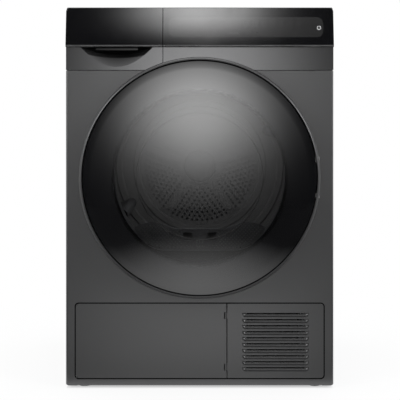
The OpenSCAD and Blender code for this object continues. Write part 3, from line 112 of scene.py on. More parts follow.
class Tree:
    """Short ways to add and join the nodes of one node tree."""

    def __init__(self, tree: bpy.types.NodeTree) -> None:
        """Takes up the node tree of a material or of the world."""
        self.tree = tree

    def node(self, kind: str, **settings: object) -> bpy.types.Node:
        """Adds a node.

        Args:
            kind: Blender's name of the node type.
            **settings: Attributes to set on it.

        Returns:
            The new node.
        """
        made = self.tree.nodes.new(kind)
        for key, value in settings.items():
            setattr(made, key, value)
        return made

    def link(self, start: Socket, end: Socket) -> None:
        """Joins an output to an input."""
        self.tree.links.new(start, end)

    def math(self, operation: str, first: Socket, second: Socket | float = 0.0) -> Socket:
        """Adds one math node.

        Args:
            operation: Blender's name of the operation.
            first: First value.
            second: Second value, a socket or a constant.

        Returns:
            The result.
        """
        made = self.node("ShaderNodeMath", operation=operation)
        self.link(first, made.inputs[0])
        if isinstance(second, (int, float)):
            made.inputs[1].default_value = second
        else:
            self.link(second, made.inputs[1])
        return made.outputs[0]

    def mixed(self, factor: Socket, first: Socket, second: Socket) -> Socket:
        """Mixes two shaders.

        Args:
            factor: Share of the second one.
            first: Shader shown where the factor is 0.
            second: Shader shown where the factor is 1.

        Returns:
            The mixed shader.
        """
        mix = self.node("ShaderNodeMixShader")
        for start, end in zip((factor, first, second), mix.inputs):
            self.link(start, end)
        return mix.outputs[0]

    def background_rays(self) -> Socket:
        """Tells the rays that show the background from those that only carry its light.

        Returns:
            1 for rays from the camera, off metal and through glass, 0 for the others.
        """
        path = self.node("ShaderNodeLightPath")
        seen = self.math("MAXIMUM", path.outputs["Is Camera Ray"], path.outputs["Is Glossy Ray"])
        return self.math("MAXIMUM", seen, path.outputs["Is Transmission Ray"])


class Shade(Tree):
    """One material's node tree, built around a Principled shader that reads Object coordinates."""

    smudge_detail: float = 4.0
    smudge_range: Pair = (0.45, 0.75)

    def __init__(self, name: str) -> None:
        """Starts a material.

        Args:
            name: Name of the material.
        """
        self.material = bpy.data.materials.new(name)
        self.material.use_nodes = True
        super().__init__(self.material.node_tree)
        self.tree.nodes.clear()
        self.output = self.node("ShaderNodeOutputMaterial")
        self.bsdf = self.node("ShaderNodeBsdfPrincipled")
        self.surface(self.bsdf.outputs["BSDF"])
        self.place = self.node("ShaderNodeTexCoord").outputs["Object"]

    def surface(self, shader: Socket) -> None:
        """Makes a shader the one that the material shows."""
        self.link(shader, self.output.inputs["Surface"])

    def base(self, tone: Socket) -> None:
        """Gives the Principled shader its colour."""
        self.link(tone, self.bsdf.inputs["Base Color"])

    def constants(self, **values: object) -> None:
        """Sets constants on the shader's own sockets, underscores standing for spaces in their names."""
        for key, value in values.items():
            self.bsdf.inputs[key.replace("_", " ")].default_value = value

    def axes(self) -> bpy.types.NodeOutputs:
        """Splits the Object coordinates.

        Returns:
            The outputs X, Y and Z.
        """
        split = self.node("ShaderNodeSeparateXYZ")
        self.link(self.place, split.inputs[0])
        return split.outputs

    def noise(self, scale: float, detail: float = 3.0, stretch: Point = (1.0, 1.0, 1.0)) -> Socket:
        """Lays noise over the surface.

        Args:
            scale: Cells per metre.
            detail: Octaves.
            stretch: Scale of the coordinates along each axis.

        Returns:
            The noise.
        """
        mapping = self.node("ShaderNodeMapping")
        mapping.inputs["Scale"].default_value = stretch
        self.link(self.place, mapping.inputs["Vector"])
        noise = self.node("ShaderNodeTexNoise")
        noise.inputs["Scale"].default_value = scale
        noise.inputs["Detail"].default_value = detail
        self.link(mapping.outputs["Vector"], noise.inputs["Vector"])
        return noise.outputs["Fac"]

    def span(self, factor: Socket, values: Pair, limits: Pair = WHOLE) -> Socket:
        """Maps a factor to a span of values and clamps it there.

        Args:
            factor: The factor.
            values: Values at the factor's lower and at its upper limit.
            limits: The factor's limits.

        Returns:
            The value.
        """
        ranged = self.node("ShaderNodeMapRange")
        for key, value in zip(("To Min", "To Max", "From Min", "From Max"), (*values, *limits)):
            ranged.inputs[key].default_value = value
        self.link(factor, ranged.inputs["Value"])
        return ranged.outputs["Result"]

    def tones(self, factor: Socket, dark: Colour, light: Colour, limits: Pair = MIDDLE) -> Socket:
        """Turns a factor into a colour that runs from dark to light.

        Args:
            factor: The factor.
            dark: Colour up to the factor's lower limit.
            light: Colour from its upper limit.
            limits: The factor's limits.

        Returns:
            The colour.
        """
        ramp = self.node("ShaderNodeValToRGB")
        first, last = ramp.color_ramp.elements
        first.position, first.color = limits[0], (*dark, 1.0)
        last.position, last.color = limits[1], (*light, 1.0)
        self.link(factor, ramp.inputs["Fac"])
        return ramp.outputs["Color"]

    def mottled(self, factor: Socket, colour: Colour, shares: Pair, limits: Pair = MIDDLE) -> Socket:
        """Turns a factor into tones of one colour, which run from its first share to its second."""
        return self.tones(factor, shaded(colour, shares[0]), shaded(colour, shares[1]), limits)

    def blend(self, factor: Socket, first: Socket, second: Socket) -> Socket:
        """Mixes two colours.

        Args:
            factor: Share of the second one.
            first: Colour where the factor is 0.
            second: Colour where the factor is 1.

        Returns:
            The mixed colour.
        """
        mix = self.node("ShaderNodeMix", data_type="RGBA")
        colours = [socket for socket in mix.inputs if socket.type == "RGBA"]
        for start, end in zip((factor, first, second), (mix.inputs[0], *colours)):
            self.link(start, end)
        return next(socket for socket in mix.outputs if socket.type == "RGBA")

    def uneven(self, factor: Socket, roughness: float, spread: Pair, limits: Pair = MIDDLE) -> None:
        """Gives the Principled shader a roughness that varies.

        Args:
            factor: What it varies with.
            roughness: Its plain value.
            spread: What is added to it at the factor's lower and at its upper limit.
            limits: The factor's limits.
        """
        value = self.span(factor, (roughness + spread[0], roughness + spread[1]), limits)
        self.link(value, self.bsdf.inputs["Roughness"])

    def smudged(self, scale: float, roughness: float, most: float) -> None:
        """Lays faint smudges over a polished surface.

        Args:
            scale: Smudges per metre.
            roughness: Roughness of the clean surface.
            most: What the strongest smudge adds to it.
        """
        self.uneven(self.noise(scale, self.smudge_detail), roughness, (0.0, most), self.smudge_range)

    def bump(self, height: Socket, strength: float, distance: float) -> None:
        """Bumps the Principled shader's surface.

        Args:
            height: The height.
            strength: Share of the bump that shows.
            distance: Depth of the bump.
        """
        bump = self.node("ShaderNodeBump")
        bump.inputs["Strength"].default_value = strength
        bump.inputs["Distance"].default_value = distance
        self.link(height, bump.inputs["Height"])
        self.link(bump.outputs["Normal"], self.bsdf.inputs["Normal"])

    def through(self, tint: Socket) -> Socket:
        """Adds a clear shader that lets light pass without bending it, as a thin sheet does.

        Args:
            tint: Its colour.

        Returns:
            The shader.
        """
        made = self.node("ShaderNodeBsdfRefraction")
        made.inputs["Roughness"].default_value = 0.0
        made.inputs["IOR"].default_value = 1.0
        self.link(tint, made.inputs["Color"])
        return made.outputs[0]

    def mirrored(self, ior: float) -> Socket:
        """Measures how much of the light a polished surface mirrors at each angle.

        Args:
            ior: Its refractive index.

        Returns:
            The mirrored share.
        """
        fresnel = self.node("ShaderNodeFresnel")
        fresnel.inputs["IOR"].default_value = ior
        return fresnel.outputs[0]

    def front(self) -> Socket:
        """Returns the attribute "front" of a glass piece: 1 on faces towards the room, 0 on the others."""
        return self.node("ShaderNodeAttribute", attribute_name="front").outputs["Fac"]

    def radius_about(self, x: float, z: float) -> Socket:
        """Measures the distance from an axis that runs front to back.

        Args:
            x: Place of the axis, across.
            z: Height of the axis.

        Returns:
            The distance.
        """
        axes = self.axes()
        across = self.math("SUBTRACT", axes["X"], x)
        above = self.math("SUBTRACT", axes["Z"], z)
        return self.math("SQRT", self.squares(across, above))

    def squares(self, first: Socket, second: Socket) -> Socket:
        """Returns the sum of two squares."""
        return self.math("ADD", self.math("MULTIPLY", first, first), self.math("MULTIPLY", second, second))

    def away_from(self, centre: Point, reach: Point) -> Socket:
        """Measures the distance from a point, with a reach along each axis as the unit.

        Args:
            centre: The point.
            reach: Half axes of the ellipsoid on which the distance is 1.

        Returns:
            The distance.
        """
        moved = self.node("ShaderNodeMapping", vector_type="TEXTURE")
        moved.inputs["Location"].default_value = centre
        moved.inputs["Scale"].default_value = reach
        self.link(self.place, moved.inputs["Vector"])
        away = self.node("ShaderNodeVectorMath", operation="LENGTH")
        self.link(moved.outputs["Vector"], away.inputs[0])
        return away.outputs["Value"]


@dataclass(frozen=True)
class PaintedRecessShade:
    """Painted shade: how a paint turns nearly black behind a depth, so that gaps, slots and a grip look
    shaded and deep.
    """

    start: float
    fade: float
    half: float = 10.0
    half_fade: float = 4 * MM
    # Grey of the painted shade deep in the recess.
    tone: float = 0.005
    patches: Pair = (0.8, 1.2)

    def paint_recess_shade(self, shade: Shade, open_tone: Socket) -> Socket:
        """Paints shade: blackens a colour behind the start, within the half width about the middle.

        Args:
            shade: The paint's node tree.
            open_tone: Colour of the open surface.

        Returns:
            The colour with its painted shade in the depths.
        """
        axes = shade.axes()
        behind = shade.span(axes["Y"], WHOLE, (self.start, self.start + self.fade))
        across = shade.math("ABSOLUTE", axes["X"])
        within = shade.span(across, (1.0, 0.0), (self.half, self.half + self.half_fade))
        depth = shade.math("MULTIPLY", behind, within)
        # Painted shade: black is mixed in where the surface lies deep and within the half width.
        return shade.blend(depth, open_tone, shade.mottled(depth, grey(self.tone), self.patches))


@dataclass(frozen=True)
class MetallicPaint:
    """Satin paint with fine metal flakes and a faint orange peel, with painted shade that turns it black in
    its recess if it has one.
    """

    name: str
    colour: Colour
    roughness: float = 0.42
    metallic: float = 0.55
    flake: float = 0.22
    peel: float = 0.05
    recess_shade: PaintedRecessShade | None = None
    flake_scale: float = 2600.0
    flake_range: Pair = (0.35, 0.65)
    patch_scale: float = 2.2
    patches: Pair = (0.94, 1.05)
    cover_scale: float = 900.0
    cover: Pair = (0.35, 0.75)
    shine_scale: float = 30.0
    shine_spread: Pair = (-0.008, 0.01)
    peel_scale: float = 260.0
    peel_depth: float = 0.4 * MM

    def make(self) -> bpy.types.Material:
        """Makes the material.

        Returns:
            The material.
        """
        shade = Shade(self.name)
        fine = shade.noise(self.flake_scale, detail=1.0)
        flakes = shade.mottled(fine, self.colour, (1.0 - self.flake, 1.0 + self.flake), self.flake_range)
        broad = shade.mottled(shade.noise(self.patch_scale, detail=2.0), self.colour, self.patches)
        tone = shade.blend(shade.span(shade.noise(self.cover_scale, detail=1.0), self.cover), broad, flakes)
        # Painted shade: the paint turns black in its recess.
        if self.recess_shade:
            tone = self.recess_shade.paint_recess_shade(shade, tone)
        shade.base(tone)
        shade.uneven(shade.noise(self.shine_scale), self.roughness, self.shine_spread)
        shade.bump(shade.noise(self.peel_scale, detail=2.0), self.peel, self.peel_depth)
        shade.constants(Metallic=self.metallic)
        return shade.material


@dataclass(frozen=True)
class Plastic:
    """Moulded plastic with a fine grain and slight unevenness."""

    name: str
    colour: Colour
    roughness: float = 0.5
    grain: float = 0.12
    grain_scale: float = 1400.0
    see_through: float = 0.0
    shine: float = 0.5
    patch_scale: float = 18.0
    patches: Pair = (0.9, 1.08)
    shine_scale: float = 60.0
    shine_spread: Pair = (-0.06, 0.06)
    grain_depth: float = 0.3 * MM

    def make(self) -> bpy.types.Material:
        """Makes the material.

        Returns:
            The material.
        """
        shade = Shade(self.name)
        shade.base(shade.mottled(shade.noise(self.patch_scale), self.colour, self.patches))
        shade.uneven(shade.noise(self.shine_scale), self.roughness, self.shine_spread)
        shade.bump(shade.noise(self.grain_scale, detail=2.0), self.grain, self.grain_depth)
        shade.constants(Transmission_Weight=self.see_through, Specular_IOR_Level=self.shine)
        return shade.material


@dataclass(frozen=True)
class Metal:
    """Brushed, galvanised or turned metal."""

    name: str
    colour: Colour
    roughness: float = 0.32
    grain: Axis = Axis.Y
    spangle: float = 0.0
    metallic: float = 1.0
    line_scale: float = 900.0
    line_step: float = 0.06
    line_bump: float = 0.06
    line_depth: float = 0.2 * MM
    shine_spread: Pair = (-0.08, 0.1)
    spangle_scale: float = 70.0
    spangle_tones: Pair = (0.82, 1.1)
    spangle_range: Pair = (0.1, 0.9)
    spangle_cover: Pair = (0.5, 0.9)

    def spangled(self, shade: Shade, lines: Socket, tone: Socket) -> Socket:
        """Lays zinc crystals over the brushed colour.

        Args:
            shade: The metal's node tree.
            lines: The brushing.
            tone: The brushed colour.

        Returns:
            The colour with its crystals.
        """
        cells = shade.node("ShaderNodeTexVoronoi")
        cells.inputs["Scale"].default_value = self.spangle_scale
        shade.link(shade.place, cells.inputs["Vector"])
        colours = cells.outputs["Color"]
        crystals = shade.mottled(colours, self.colour, self.spangle_tones, self.spangle_range)
        return shade.blend(shade.span(lines, self.spangle_cover), tone, crystals)

    def make(self) -> bpy.types.Material:
        """Makes the material.

        Returns:
            The material.
        """
        shade = Shade(self.name)
        lines = shade.noise(self.line_scale, stretch=self.grain.value)
        step = max(self.line_step, self.spangle)
        tone = shade.mottled(lines, self.colour, (1.0 - step, 1.0 + step))
        if self.spangle:
            tone = self.spangled(shade, lines, tone)
        shade.base(tone)
        shade.uneven(lines, self.roughness, self.shine_spread)
        shade.bump(lines, self.line_bump, self.line_depth)
        shade.constants(Metallic=self.metallic)
        return shade.material


@dataclass(frozen=True)
class BlackGlass:
    """Polished glass printed black on its back."""

    name: str
    colour: Colour = (0.004, 0.004, 0.0045)
    roughness: float = 0.04
    ior: float = 1.9
    patch_scale: float = 4.0
    patches: Pair = (1.0, 1.3)
    smudge_scale: float = 12.0
    smudge: float = 0.05
    wave_scale: float = 8.0
    wave: float = 0.02
    wave_depth: float = 0.5 * MM

    def make(self) -> bpy.types.Material:
        """Makes the material.

        Returns:
            The material.
        """
        shade = Shade(self.name)
        shade.base(shade.mottled(shade.noise(self.patch_scale), self.colour, self.patches))
        shade.smudged(self.smudge_scale, self.roughness, self.smudge)
        shade.bump(shade.noise(self.wave_scale, detail=1.0), self.wave, self.wave_depth)
        shade.constants(IOR=self.ior)
        return shade.material


@dataclass(frozen=True)
class SmokedGlass:
    """Door glass: smoked and clear in the middle, printed black towards its rim."""

    name: str
    centre_z: float
    clear_r: float
    tint: Colour = (0.86, 0.86, 0.86)
    ior: float = 1.9
    fade: float = 12 * MM
    roughness: float = 0.035
    print_scale: float = 5.0
    print_dark: Colour = (0.003, 0.003, 0.0033)
    print_light: Colour = (0.005, 0.005, 0.0055)
    smudge_scale: float = 10.0
    smudge: float = 0.04

    def window(self, shade: Shade) -> Socket:
        """Makes the clear middle, whose tint and gloss are on the faces towards the room alone.

        Args:
            shade: The glass's node tree.

        Returns:
            The middle's shader.
        """
        front = shade.front()
        clear = shade.through(shade.tones(front, grey(1.0), self.tint, WHOLE))
        shine = shade.node("ShaderNodeBsdfGlossy")
        shine.inputs["Roughness"].default_value = self.roughness
        return shade.mixed(shade.math("MULTIPLY", shade.mirrored(self.ior), front), clear, shine.outputs[0])

    def make(self) -> bpy.types.Material:
        """Makes the material.

        Returns:
            The material.
        """
        shade = Shade(self.name)
        shade.base(shade.tones(shade.noise(self.print_scale), self.print_dark, self.print_light))
        shade.smudged(self.smudge_scale, self.roughness, self.smudge)
        shade.constants(IOR=self.ior)
        radius = shade.radius_about(0.0, self.centre_z)
        printed = shade.span(radius, WHOLE, (self.clear_r - self.fade, self.clear_r))
        shade.surface(shade.mixed(printed, self.window(shade), shade.bsdf.outputs[0]))
        return shade.material


@dataclass(frozen=True)
class ClearGlass:
    """Thin clear glass of the door's inner bowl."""

    name: str
    tint: Colour = (0.93, 0.93, 0.93)
    ior: float = 1.12
    roughness: float = 0.05
    patch_scale: float = 6.0
    patches: Pair = (0.98, 1.0)
    smudge_scale: float = 12.0
    smudge: float = 0.03

    def make(self) -> bpy.types.Material:
        """Makes the material.

        Returns:
            The material.
        """
        shade = Shade(self.name)
        tint = shade.mottled(shade.noise(self.patch_scale), self.tint, self.patches)
        shine = shade.node("ShaderNodeBsdfGlossy")
        roughness = (self.roughness, self.roughness + self.smudge)
        shade.link(shade.span(shade.noise(self.smudge_scale), roughness), shine.inputs["Roughness"])
        shade.surface(shade.mixed(shade.mirrored(self.ior), shade.through(tint), shine.outputs[0]))
        return shade.material


@dataclass(frozen=True)
class Rubber:
    """Dull black rubber."""

    name: str
    colour: Colour = (0.02, 0.02, 0.021)

    def make(self) -> bpy.types.Material:
        """Returns the material."""
        return Plastic(self.name, self.colour, roughness=0.78, grain=0.25, grain_scale=700.0).make()


@dataclass(frozen=True)
class Felt:
    """Pressed wool felt with loose fibres."""

    name: str
    colour: Colour = (0.23, 0.215, 0.19)
    roughness: float = 0.95
    sheen: float = 0.4
    fibre_scale: float = 420.0
    fibre_detail: float = 6.0
    fibre_stretch: Point = (1.0, 0.35, 1.0)
    fibre_tones: Pair = (0.6, 1.3)
    fibre_bump: float = 0.6
    fibre_depth: float = 0.8 * MM

    def make(self) -> bpy.types.Material:
        """Makes the material.

        Returns:
            The material.
        """
        shade = Shade(self.name)
        fibres = shade.noise(self.fibre_scale, self.fibre_detail, self.fibre_stretch)
        shade.base(shade.mottled(fibres, self.colour, self.fibre_tones))
        shade.bump(fibres, self.fibre_bump, self.fibre_depth)
        shade.constants(Roughness=self.roughness, Sheen_Weight=self.sheen)
        return shade.material


@dataclass(frozen=True)
class Print:
    """Pale print under the control glass, with a faint painted glow."""

    name: str
    colour: Colour
    glow: float = 0.0
    roughness: float = 0.25
    grain_scale: float = 300.0
    grain: Pair = (0.85, 1.0)

    def make(self) -> bpy.types.Material:
        """Makes the material.

        Returns:
            The material.
        """
        shade = Shade(self.name)
        shade.base(shade.mottled(shade.noise(self.grain_scale), self.colour, self.grain))
        # Painted glow: the print emits a little light of its own colour, though it is no lamp.
        light = (*self.colour, 1.0)
        shade.constants(Roughness=self.roughness, Emission_Color=light, Emission_Strength=self.glow)
        return shade.material


class Maker:
    """Shared ways to put things into the scene and to turn a bmesh into a finished piece."""

    merge: float = 0.001 * MM
    sharp: float = math.radians(35.0)

    @staticmethod
    def add(name: str, data: bpy.types.ID) -> bpy.types.Object:
        """Adds an object to the scene.

        Args:
            name: Its name.
            data: Its mesh, light or camera.

        Returns:
            The new object.
        """
        made = bpy.data.objects.new(name, data)
        bpy.context.scene.collection.objects.link(made)
        return made

    @classmethod
    def meshed(cls, mesh: bmesh.types.BMesh, name: str, material: bpy.types.Material) -> bpy.types.Object:
        """Makes an object from a bmesh.

        Args:
            mesh: The shape. It is freed.
            name: Name of the object.
            material: Its finish.

        Returns:
            The new object.
        """
        data = bpy.data.meshes.new(name)
        mesh.to_mesh(data)
        mesh.free()
        data.materials.append(material)
        return cls.add(name, data)

    @classmethod
    def piece(cls, mesh: bmesh.types.BMesh, name: str, material: bpy.types.Material, body: str,
              smooth: bool = True) -> bpy.types.Object:
        """Makes an object from a bmesh, gives it a finish and lets it ride on a body.

        Args:
            mesh: The shape, in place. It is freed.
            name: Name of the piece.
            material: Its finish.
            body: The body that it rides on.
            smooth: Whether its faces are shaded smooth.

        Returns:
            The new object.
        """
        bmesh.ops.remove_doubles(mesh, verts=mesh.verts, dist=cls.merge)
        bmesh.ops.recalc_face_normals(mesh, faces=mesh.faces)
        for face in mesh.faces:
            face.smooth = smooth
        made = cls.meshed(mesh, name, material)
        if smooth:
            made.data.set_sharp_from_angle(angle=cls.sharp)
        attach(made, body)
        log.info("made %s on %s with %d faces", name, body, len(made.data.polygons))
        return made

    @staticmethod
    def mark_front(made: bpy.types.Object) -> None:
        """Stores on each face, as the attribute "front", whether it faces the room.

        Args:
            made: The piece.
        """
        attribute = made.data.attributes.new("front", "FLOAT", "FACE")
        for face in made.data.polygons:
            attribute.data[face.index].value = 1.0 if face.normal.y < 0.0 else 0.0

    @staticmethod
    def revolve(mesh: bmesh.types.BMesh, outline: list[Pair], centre: Vector, steps: int) -> None:
        """Turns a closed outline about the front-to-back axis through a centre.

        Args:
            mesh: Receives the faces.
            outline: Points as (radius, depth), in order.
            centre: A point on the axis.
            steps: Number of segments.
        """
        verts = [mesh.verts.new((centre.x + radius, depth, centre.z)) for radius, depth in outline]
        edges = [mesh.edges.new((verts[i], verts[(i + 1) % len(verts)])) for i in range(len(verts))]
        bmesh.ops.spin(mesh, geom=verts + edges, cent=centre, axis=(0.0, 1.0, 0.0), dvec=(0.0, 0.0, 0.0),
                       angle=math.tau, steps=steps, use_merge=True, use_duplicate=False)


@dataclass
class DoorGlass:
    """Domed outer glass of the door, with a bevelled band and a rounded rim."""

    finishes: dict[str, bpy.types.Material]
    bevel_w: float = 12 * MM
    dome_h: float = 5.5 * MM
    rim_drop: float = 0.9 * MM
    rim_round: float = 0.4 * MM
    lip_out: float = 0.1 * MM
    lip_in: float = 0.5 * MM
    thick: float = 3.2 * MM
    rings: int = 40
    steps: int = 256

    def outline(self) -> tuple[list[Pair], Vector]:
        """Draws the section through the glass.

        Returns:
            The section as (radius, depth) points, and the disc's centre.
        """
        low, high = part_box("door_glass")
        outer = (high.x - low.x) / 2.0
        flat = outer - self.bevel_w
        curve = (flat * flat + self.dome_h * self.dome_h) / (2.0 * self.dome_h)
        radii = [flat * i / self.rings for i in range(self.rings + 1)]
        dome = [(r, low.y + curve - math.sqrt(curve * curve - r * r)) for r in radii]
        rim = low.y + self.dome_h + self.rim_drop
        edge = [(outer - self.rim_round, rim - self.lip_out), (outer, rim + self.lip_in),
                (outer, rim + self.thick - self.rim_round), (outer - self.rim_round, rim + self.thick)]
        back = [(r, y + self.thick) for r, y in reversed(dome)]
        return dome + edge + back, Vector(((low.x + high.x) / 2.0, 0.0, (low.z + high.z) / 2.0))

    def build(self) -> None:
        """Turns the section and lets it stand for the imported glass."""
        mesh = bmesh.new()
        outline, centre = self.outline()
        Maker.revolve(mesh, outline, centre, self.steps)
        made = Maker.piece(mesh, "door_glass_dome", self.finishes["door_glass"], "door")
        Maker.mark_front(made)
        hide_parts("door_glass")


@dataclass(frozen=True)
class Bar:
    """Straight stroke of a pictogram: its size, its height over the middle and its turn in radians."""

    wide: float
    tall: float
    above: float = 0.0
    turn: float = 0.0


@dataclass(frozen=True)
class Arc:
    """Round stroke: its middle radius, the angle that it covers and its start, measured from the right."""

    radius: float
    sweep: float = math.tau
    start: float = 0.0


THIN = 0.7 * MM


class Pictogram(Enum):
    """Plain signs of the display's lower row, from left to right, each as its strokes."""

    DIAL = (Arc(2.8 * MM), Bar(1.6 * MM, 1.6 * MM))
    BOTTLE = (Bar(1.8 * MM, 6.4 * MM), Bar(4.4 * MM, THIN, 1.2 * MM))
    BASIN = (Arc(2.7 * MM, math.pi, math.pi), Bar(5.6 * MM, THIN, 1.8 * MM))
    STAR = (Bar(THIN, 6.4 * MM, turn=-0.7), Bar(THIN, 6.4 * MM, turn=0.7), Bar(5.8 * MM, THIN))
    LINES = (Bar(6.2 * MM, THIN, -1.3 * MM), Bar(6.2 * MM, THIN, 1.3 * MM))
    TIMER = (Arc(2.6 * MM, 1.5 * math.pi, 0.25 * math.pi),)
    IRON = (Bar(6.6 * MM, 3.4 * MM, -0.8 * MM), Bar(3.4 * MM, THIN, 2.0 * MM))


@dataclass
class ControlDisplay:
    """Print and unlit display on the leaning control glass, placed across and above the floor."""

    finishes: dict[str, bpy.types.Material]
    glass_t: float = 3 * MM
    sunk: float = 0.05 * MM
    window_proud: float = 0.06 * MM
    word_proud: float = 0.1 * MM
    print_proud: float = 0.12 * MM
    mark_proud: float = 0.13 * MM
    corner: float = 0.3
    corner_steps: int = 3
    ring_steps: int = 36
    arc_steps: int = 8
    window: tuple[float, float, float, float] = (-68.9 * MM, 275 * MM, 781.8 * MM, 827.7 * MM)
    digit_w: float = 17.5 * MM
    digit_z: Pair = (786.4 * MM, 821.6 * MM)
    stroke: float = 1.5 * MM
    bar_short: float = 2.4
    post_short: float = 1.4
    digits: tuple[float, ...] = (-34 * MM, -0.6 * MM, 25.2 * MM)
    colon_x: float = -17.6 * MM
    colon_z: float = 5 * MM
    colon_dot: float = 1.6 * MM
    dividers: tuple[float, ...] = (95.3 * MM, 115.5 * MM, 133.3 * MM, 153.1 * MM, 172.6 * MM, 190.7 * MM,
                                   211.2 * MM)
    divider_z: float = 813 * MM
    divider_w: float = 0.8 * MM
    divider_h: float = 17.5 * MM
    word_x: float = 9 * MM
    word_z: float = 816.5 * MM
    word_row: float = 4.6 * MM
    word_rows: int = 3
    word_w: float = 11.5 * MM
    word_step: float = 2 * MM
    word_h: float = 1.3 * MM
    icons: tuple[float, ...] = (111.5 * MM, 127.3 * MM, 144.9 * MM, 161.6 * MM, 178.7 * MM, 196 * MM,
                                213.5 * MM)
    icon_z: float = 790.8 * MM
    label_x: float = 76 * MM
    label_w: float = 26 * MM
    label_h: float = 4.4 * MM
    power_x: float = 265.5 * MM
    power_z: float = 803.3 * MM
    power_line: float = 0.8 * MM
    power_arc: Arc = Arc(4 * MM, 1.72 * math.pi, 0.64 * math.pi)
    power_stem: Bar = Bar(0.7 * MM, 3.4 * MM, 3 * MM)

    def place(self) -> Matrix:
        """Finds the leaning glass.

        Returns:
            What carries (across, into the glass, up the glass from its lower edge) to the frame.
        """
        low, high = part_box("control_glass")
        tilt = math.atan2(high.y - self.glass_t - low.y, high.z - low.z)
        return Matrix.Translation((0.0, low.y, low.z)) @ Matrix.Rotation(-tilt, 4, "X")

    def up(self, z: float) -> float:
        """Measures along the leaning glass.

        Args:
            z: Height above the floor.

        Returns:
            Distance up the glass from its lower edge.
        """
        low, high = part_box("control_glass")
        lean = high.y - self.glass_t - low.y
        return (z - low.z) * math.hypot(lean, high.z - low.z) / (high.z - low.z)

    def plate(self, mesh: bmesh.types.BMesh, x: float, z: float, wide: float, tall: float, proud: float,
              turn: float = 0.0) -> None:
        """Adds a thin plate with bevelled corners on the glass.

        Args:
            mesh: Receives the plate.
            x: Its middle, across.
            z: Its middle's height above the floor.
            wide: Its width.
            tall: Its height.
            proud: How far it stands out of the glass.
            turn: Turn in the glass's plane, in radians.
        """
        deep = proud + self.sunk
        size = Matrix.Diagonal((wide, deep, tall, 1.0))
        middle = Matrix.Translation((x, (self.sunk - proud) / 2.0, self.up(z)))
        where = middle @ Matrix.Rotation(turn, 4, "Y")
        made = bmesh.ops.create_cube(mesh, size=1.0, matrix=where @ size)
        edges = {edge for vert in made["verts"] for edge in vert.link_edges}
        corners = [edge for edge in edges if abs((edge.verts[0].co - edge.verts[1].co).y) > deep / 2.0]
        bmesh.ops.bevel(mesh, geom=corners, offset=min(wide, tall) * self.corner, offset_type="OFFSET",
                        affect="EDGES", segments=self.corner_steps, profile=0.5, material=-1,
                        clamp_overlap=True)

    def ring(self, mesh: bmesh.types.BMesh, x: float, z: float, arc: Arc, stroke: float,
             proud: float) -> None:
        """Adds a flat ring, or part of one, on the glass.

        Args:
            mesh: Receives the ring.
            x: Its centre, across.
            z: Its centre's height above the floor.
            arc: Its middle radius and the angles that it covers.
            stroke: Its width.
            proud: How far it stands out of the glass.
        """
        centre = Vector((x, 0.0, self.up(z)))
        along = Vector((math.cos(arc.start), 0.0, math.sin(arc.start)))
        inner, outer = arc.radius - stroke / 2.0, arc.radius + stroke / 2.0
        corners = [(inner, self.sunk), (inner, -proud), (outer, -proud), (outer, self.sunk)]
        verts = [mesh.verts.new(centre + along * r + Vector((0.0, y, 0.0))) for r, y in corners]
        face = mesh.faces.new(verts)
        geom = verts + list(face.edges)
        full = arc.sweep >= math.tau
        if full:
            mesh.faces.remove(face)
        else:
            geom.append(face)
        steps = max(self.arc_steps, round(self.ring_steps * arc.sweep / math.tau))
        bmesh.ops.spin(mesh, geom=geom, cent=centre, axis=(0.0, -1.0, 0.0), dvec=(0.0, 0.0, 0.0),
                       angle=arc.sweep, steps=steps, use_merge=full, use_duplicate=False)

    def digit(self, mesh: bmesh.types.BMesh, x: float) -> None:
        """Adds the seven segments of one unlit digit.

        Args:
            mesh: Receives them.
            x: The digit's middle, across.
        """
        low, high = self.digit_z
        middle = (low + high) / 2.0
        bar = self.digit_w - self.bar_short * self.stroke
        post = (high - low) / 2.0 - self.post_short * self.stroke
        for z in (low, middle, high):
            self.plate(mesh, x, z, bar, self.stroke, self.print_proud)
        for side in (-1.0, 1.0):
            for z in ((low + middle) / 2.0, (middle + high) / 2.0):
                self.plate(mesh, x + side * self.digit_w / 2.0, z, self.stroke, post, self.print_proud)

    def icon(self, mesh: bmesh.types.BMesh, x: float, sign: Pictogram) -> None:
        """Adds one plain pictogram of the lower row.

        Args:
            mesh: Receives it.
            x: Its middle, across.
            sign: Which one it is.
        """
        for part in sign.value:
            if isinstance(part, Arc):
                self.ring(mesh, x, self.icon_z, part, THIN, self.print_proud)
            else:
                z = self.icon_z + part.above
                self.plate(mesh, x, z, part.wide, part.tall, self.print_proud, part.turn)

    def words(self, mesh: bmesh.types.BMesh) -> None:
        """Adds plain strokes of different lengths beside the dividers.

        Args:
            mesh: Receives them.
        """
        for column, x in enumerate(self.dividers):
            for row in range(self.word_rows):
                wide = self.word_w - self.word_step * ((row + column) % self.word_rows)
                z = self.word_z - row * self.word_row
                self.plate(mesh, x + self.word_x, z, wide, self.word_h, self.word_proud)

    def dark_window(self) -> None:
        """Makes the display's dark window."""
        left, right, bottom, top = self.window
        mesh = bmesh.new()
        x, z = (left + right) / 2.0, (bottom + top) / 2.0
        self.plate(mesh, x, z, right - left, top - bottom, self.window_proud)
        self.finish(mesh, "display_window", "display_window")

    def unlit_print(self) -> None:
        """Makes the digits, their colon, the pictograms, a label and the strokes beside the dividers."""
        mesh = bmesh.new()
        for x in self.digits:
            self.digit(mesh, x)
        for z in (-self.colon_z, self.colon_z):
            middle = sum(self.digit_z) / 2.0 + z
            self.plate(mesh, self.colon_x, middle, self.colon_dot, self.colon_dot, self.print_proud)
        for x, sign in zip(self.icons, Pictogram):
            self.icon(mesh, x, sign)
        self.plate(mesh, self.label_x, self.icon_z, self.label_w, self.label_h, self.word_proud)
        self.words(mesh)
        self.finish(mesh, "display_print", "dim_print")

    def divider_lines(self) -> None:
        """Makes the thin upright dividers."""
        mesh = bmesh.new()
        for x in self.dividers:
            self.plate(mesh, x, self.divider_z, self.divider_w, self.divider_h, self.mark_proud)
        self.finish(mesh, "display_dividers", "dark_print")

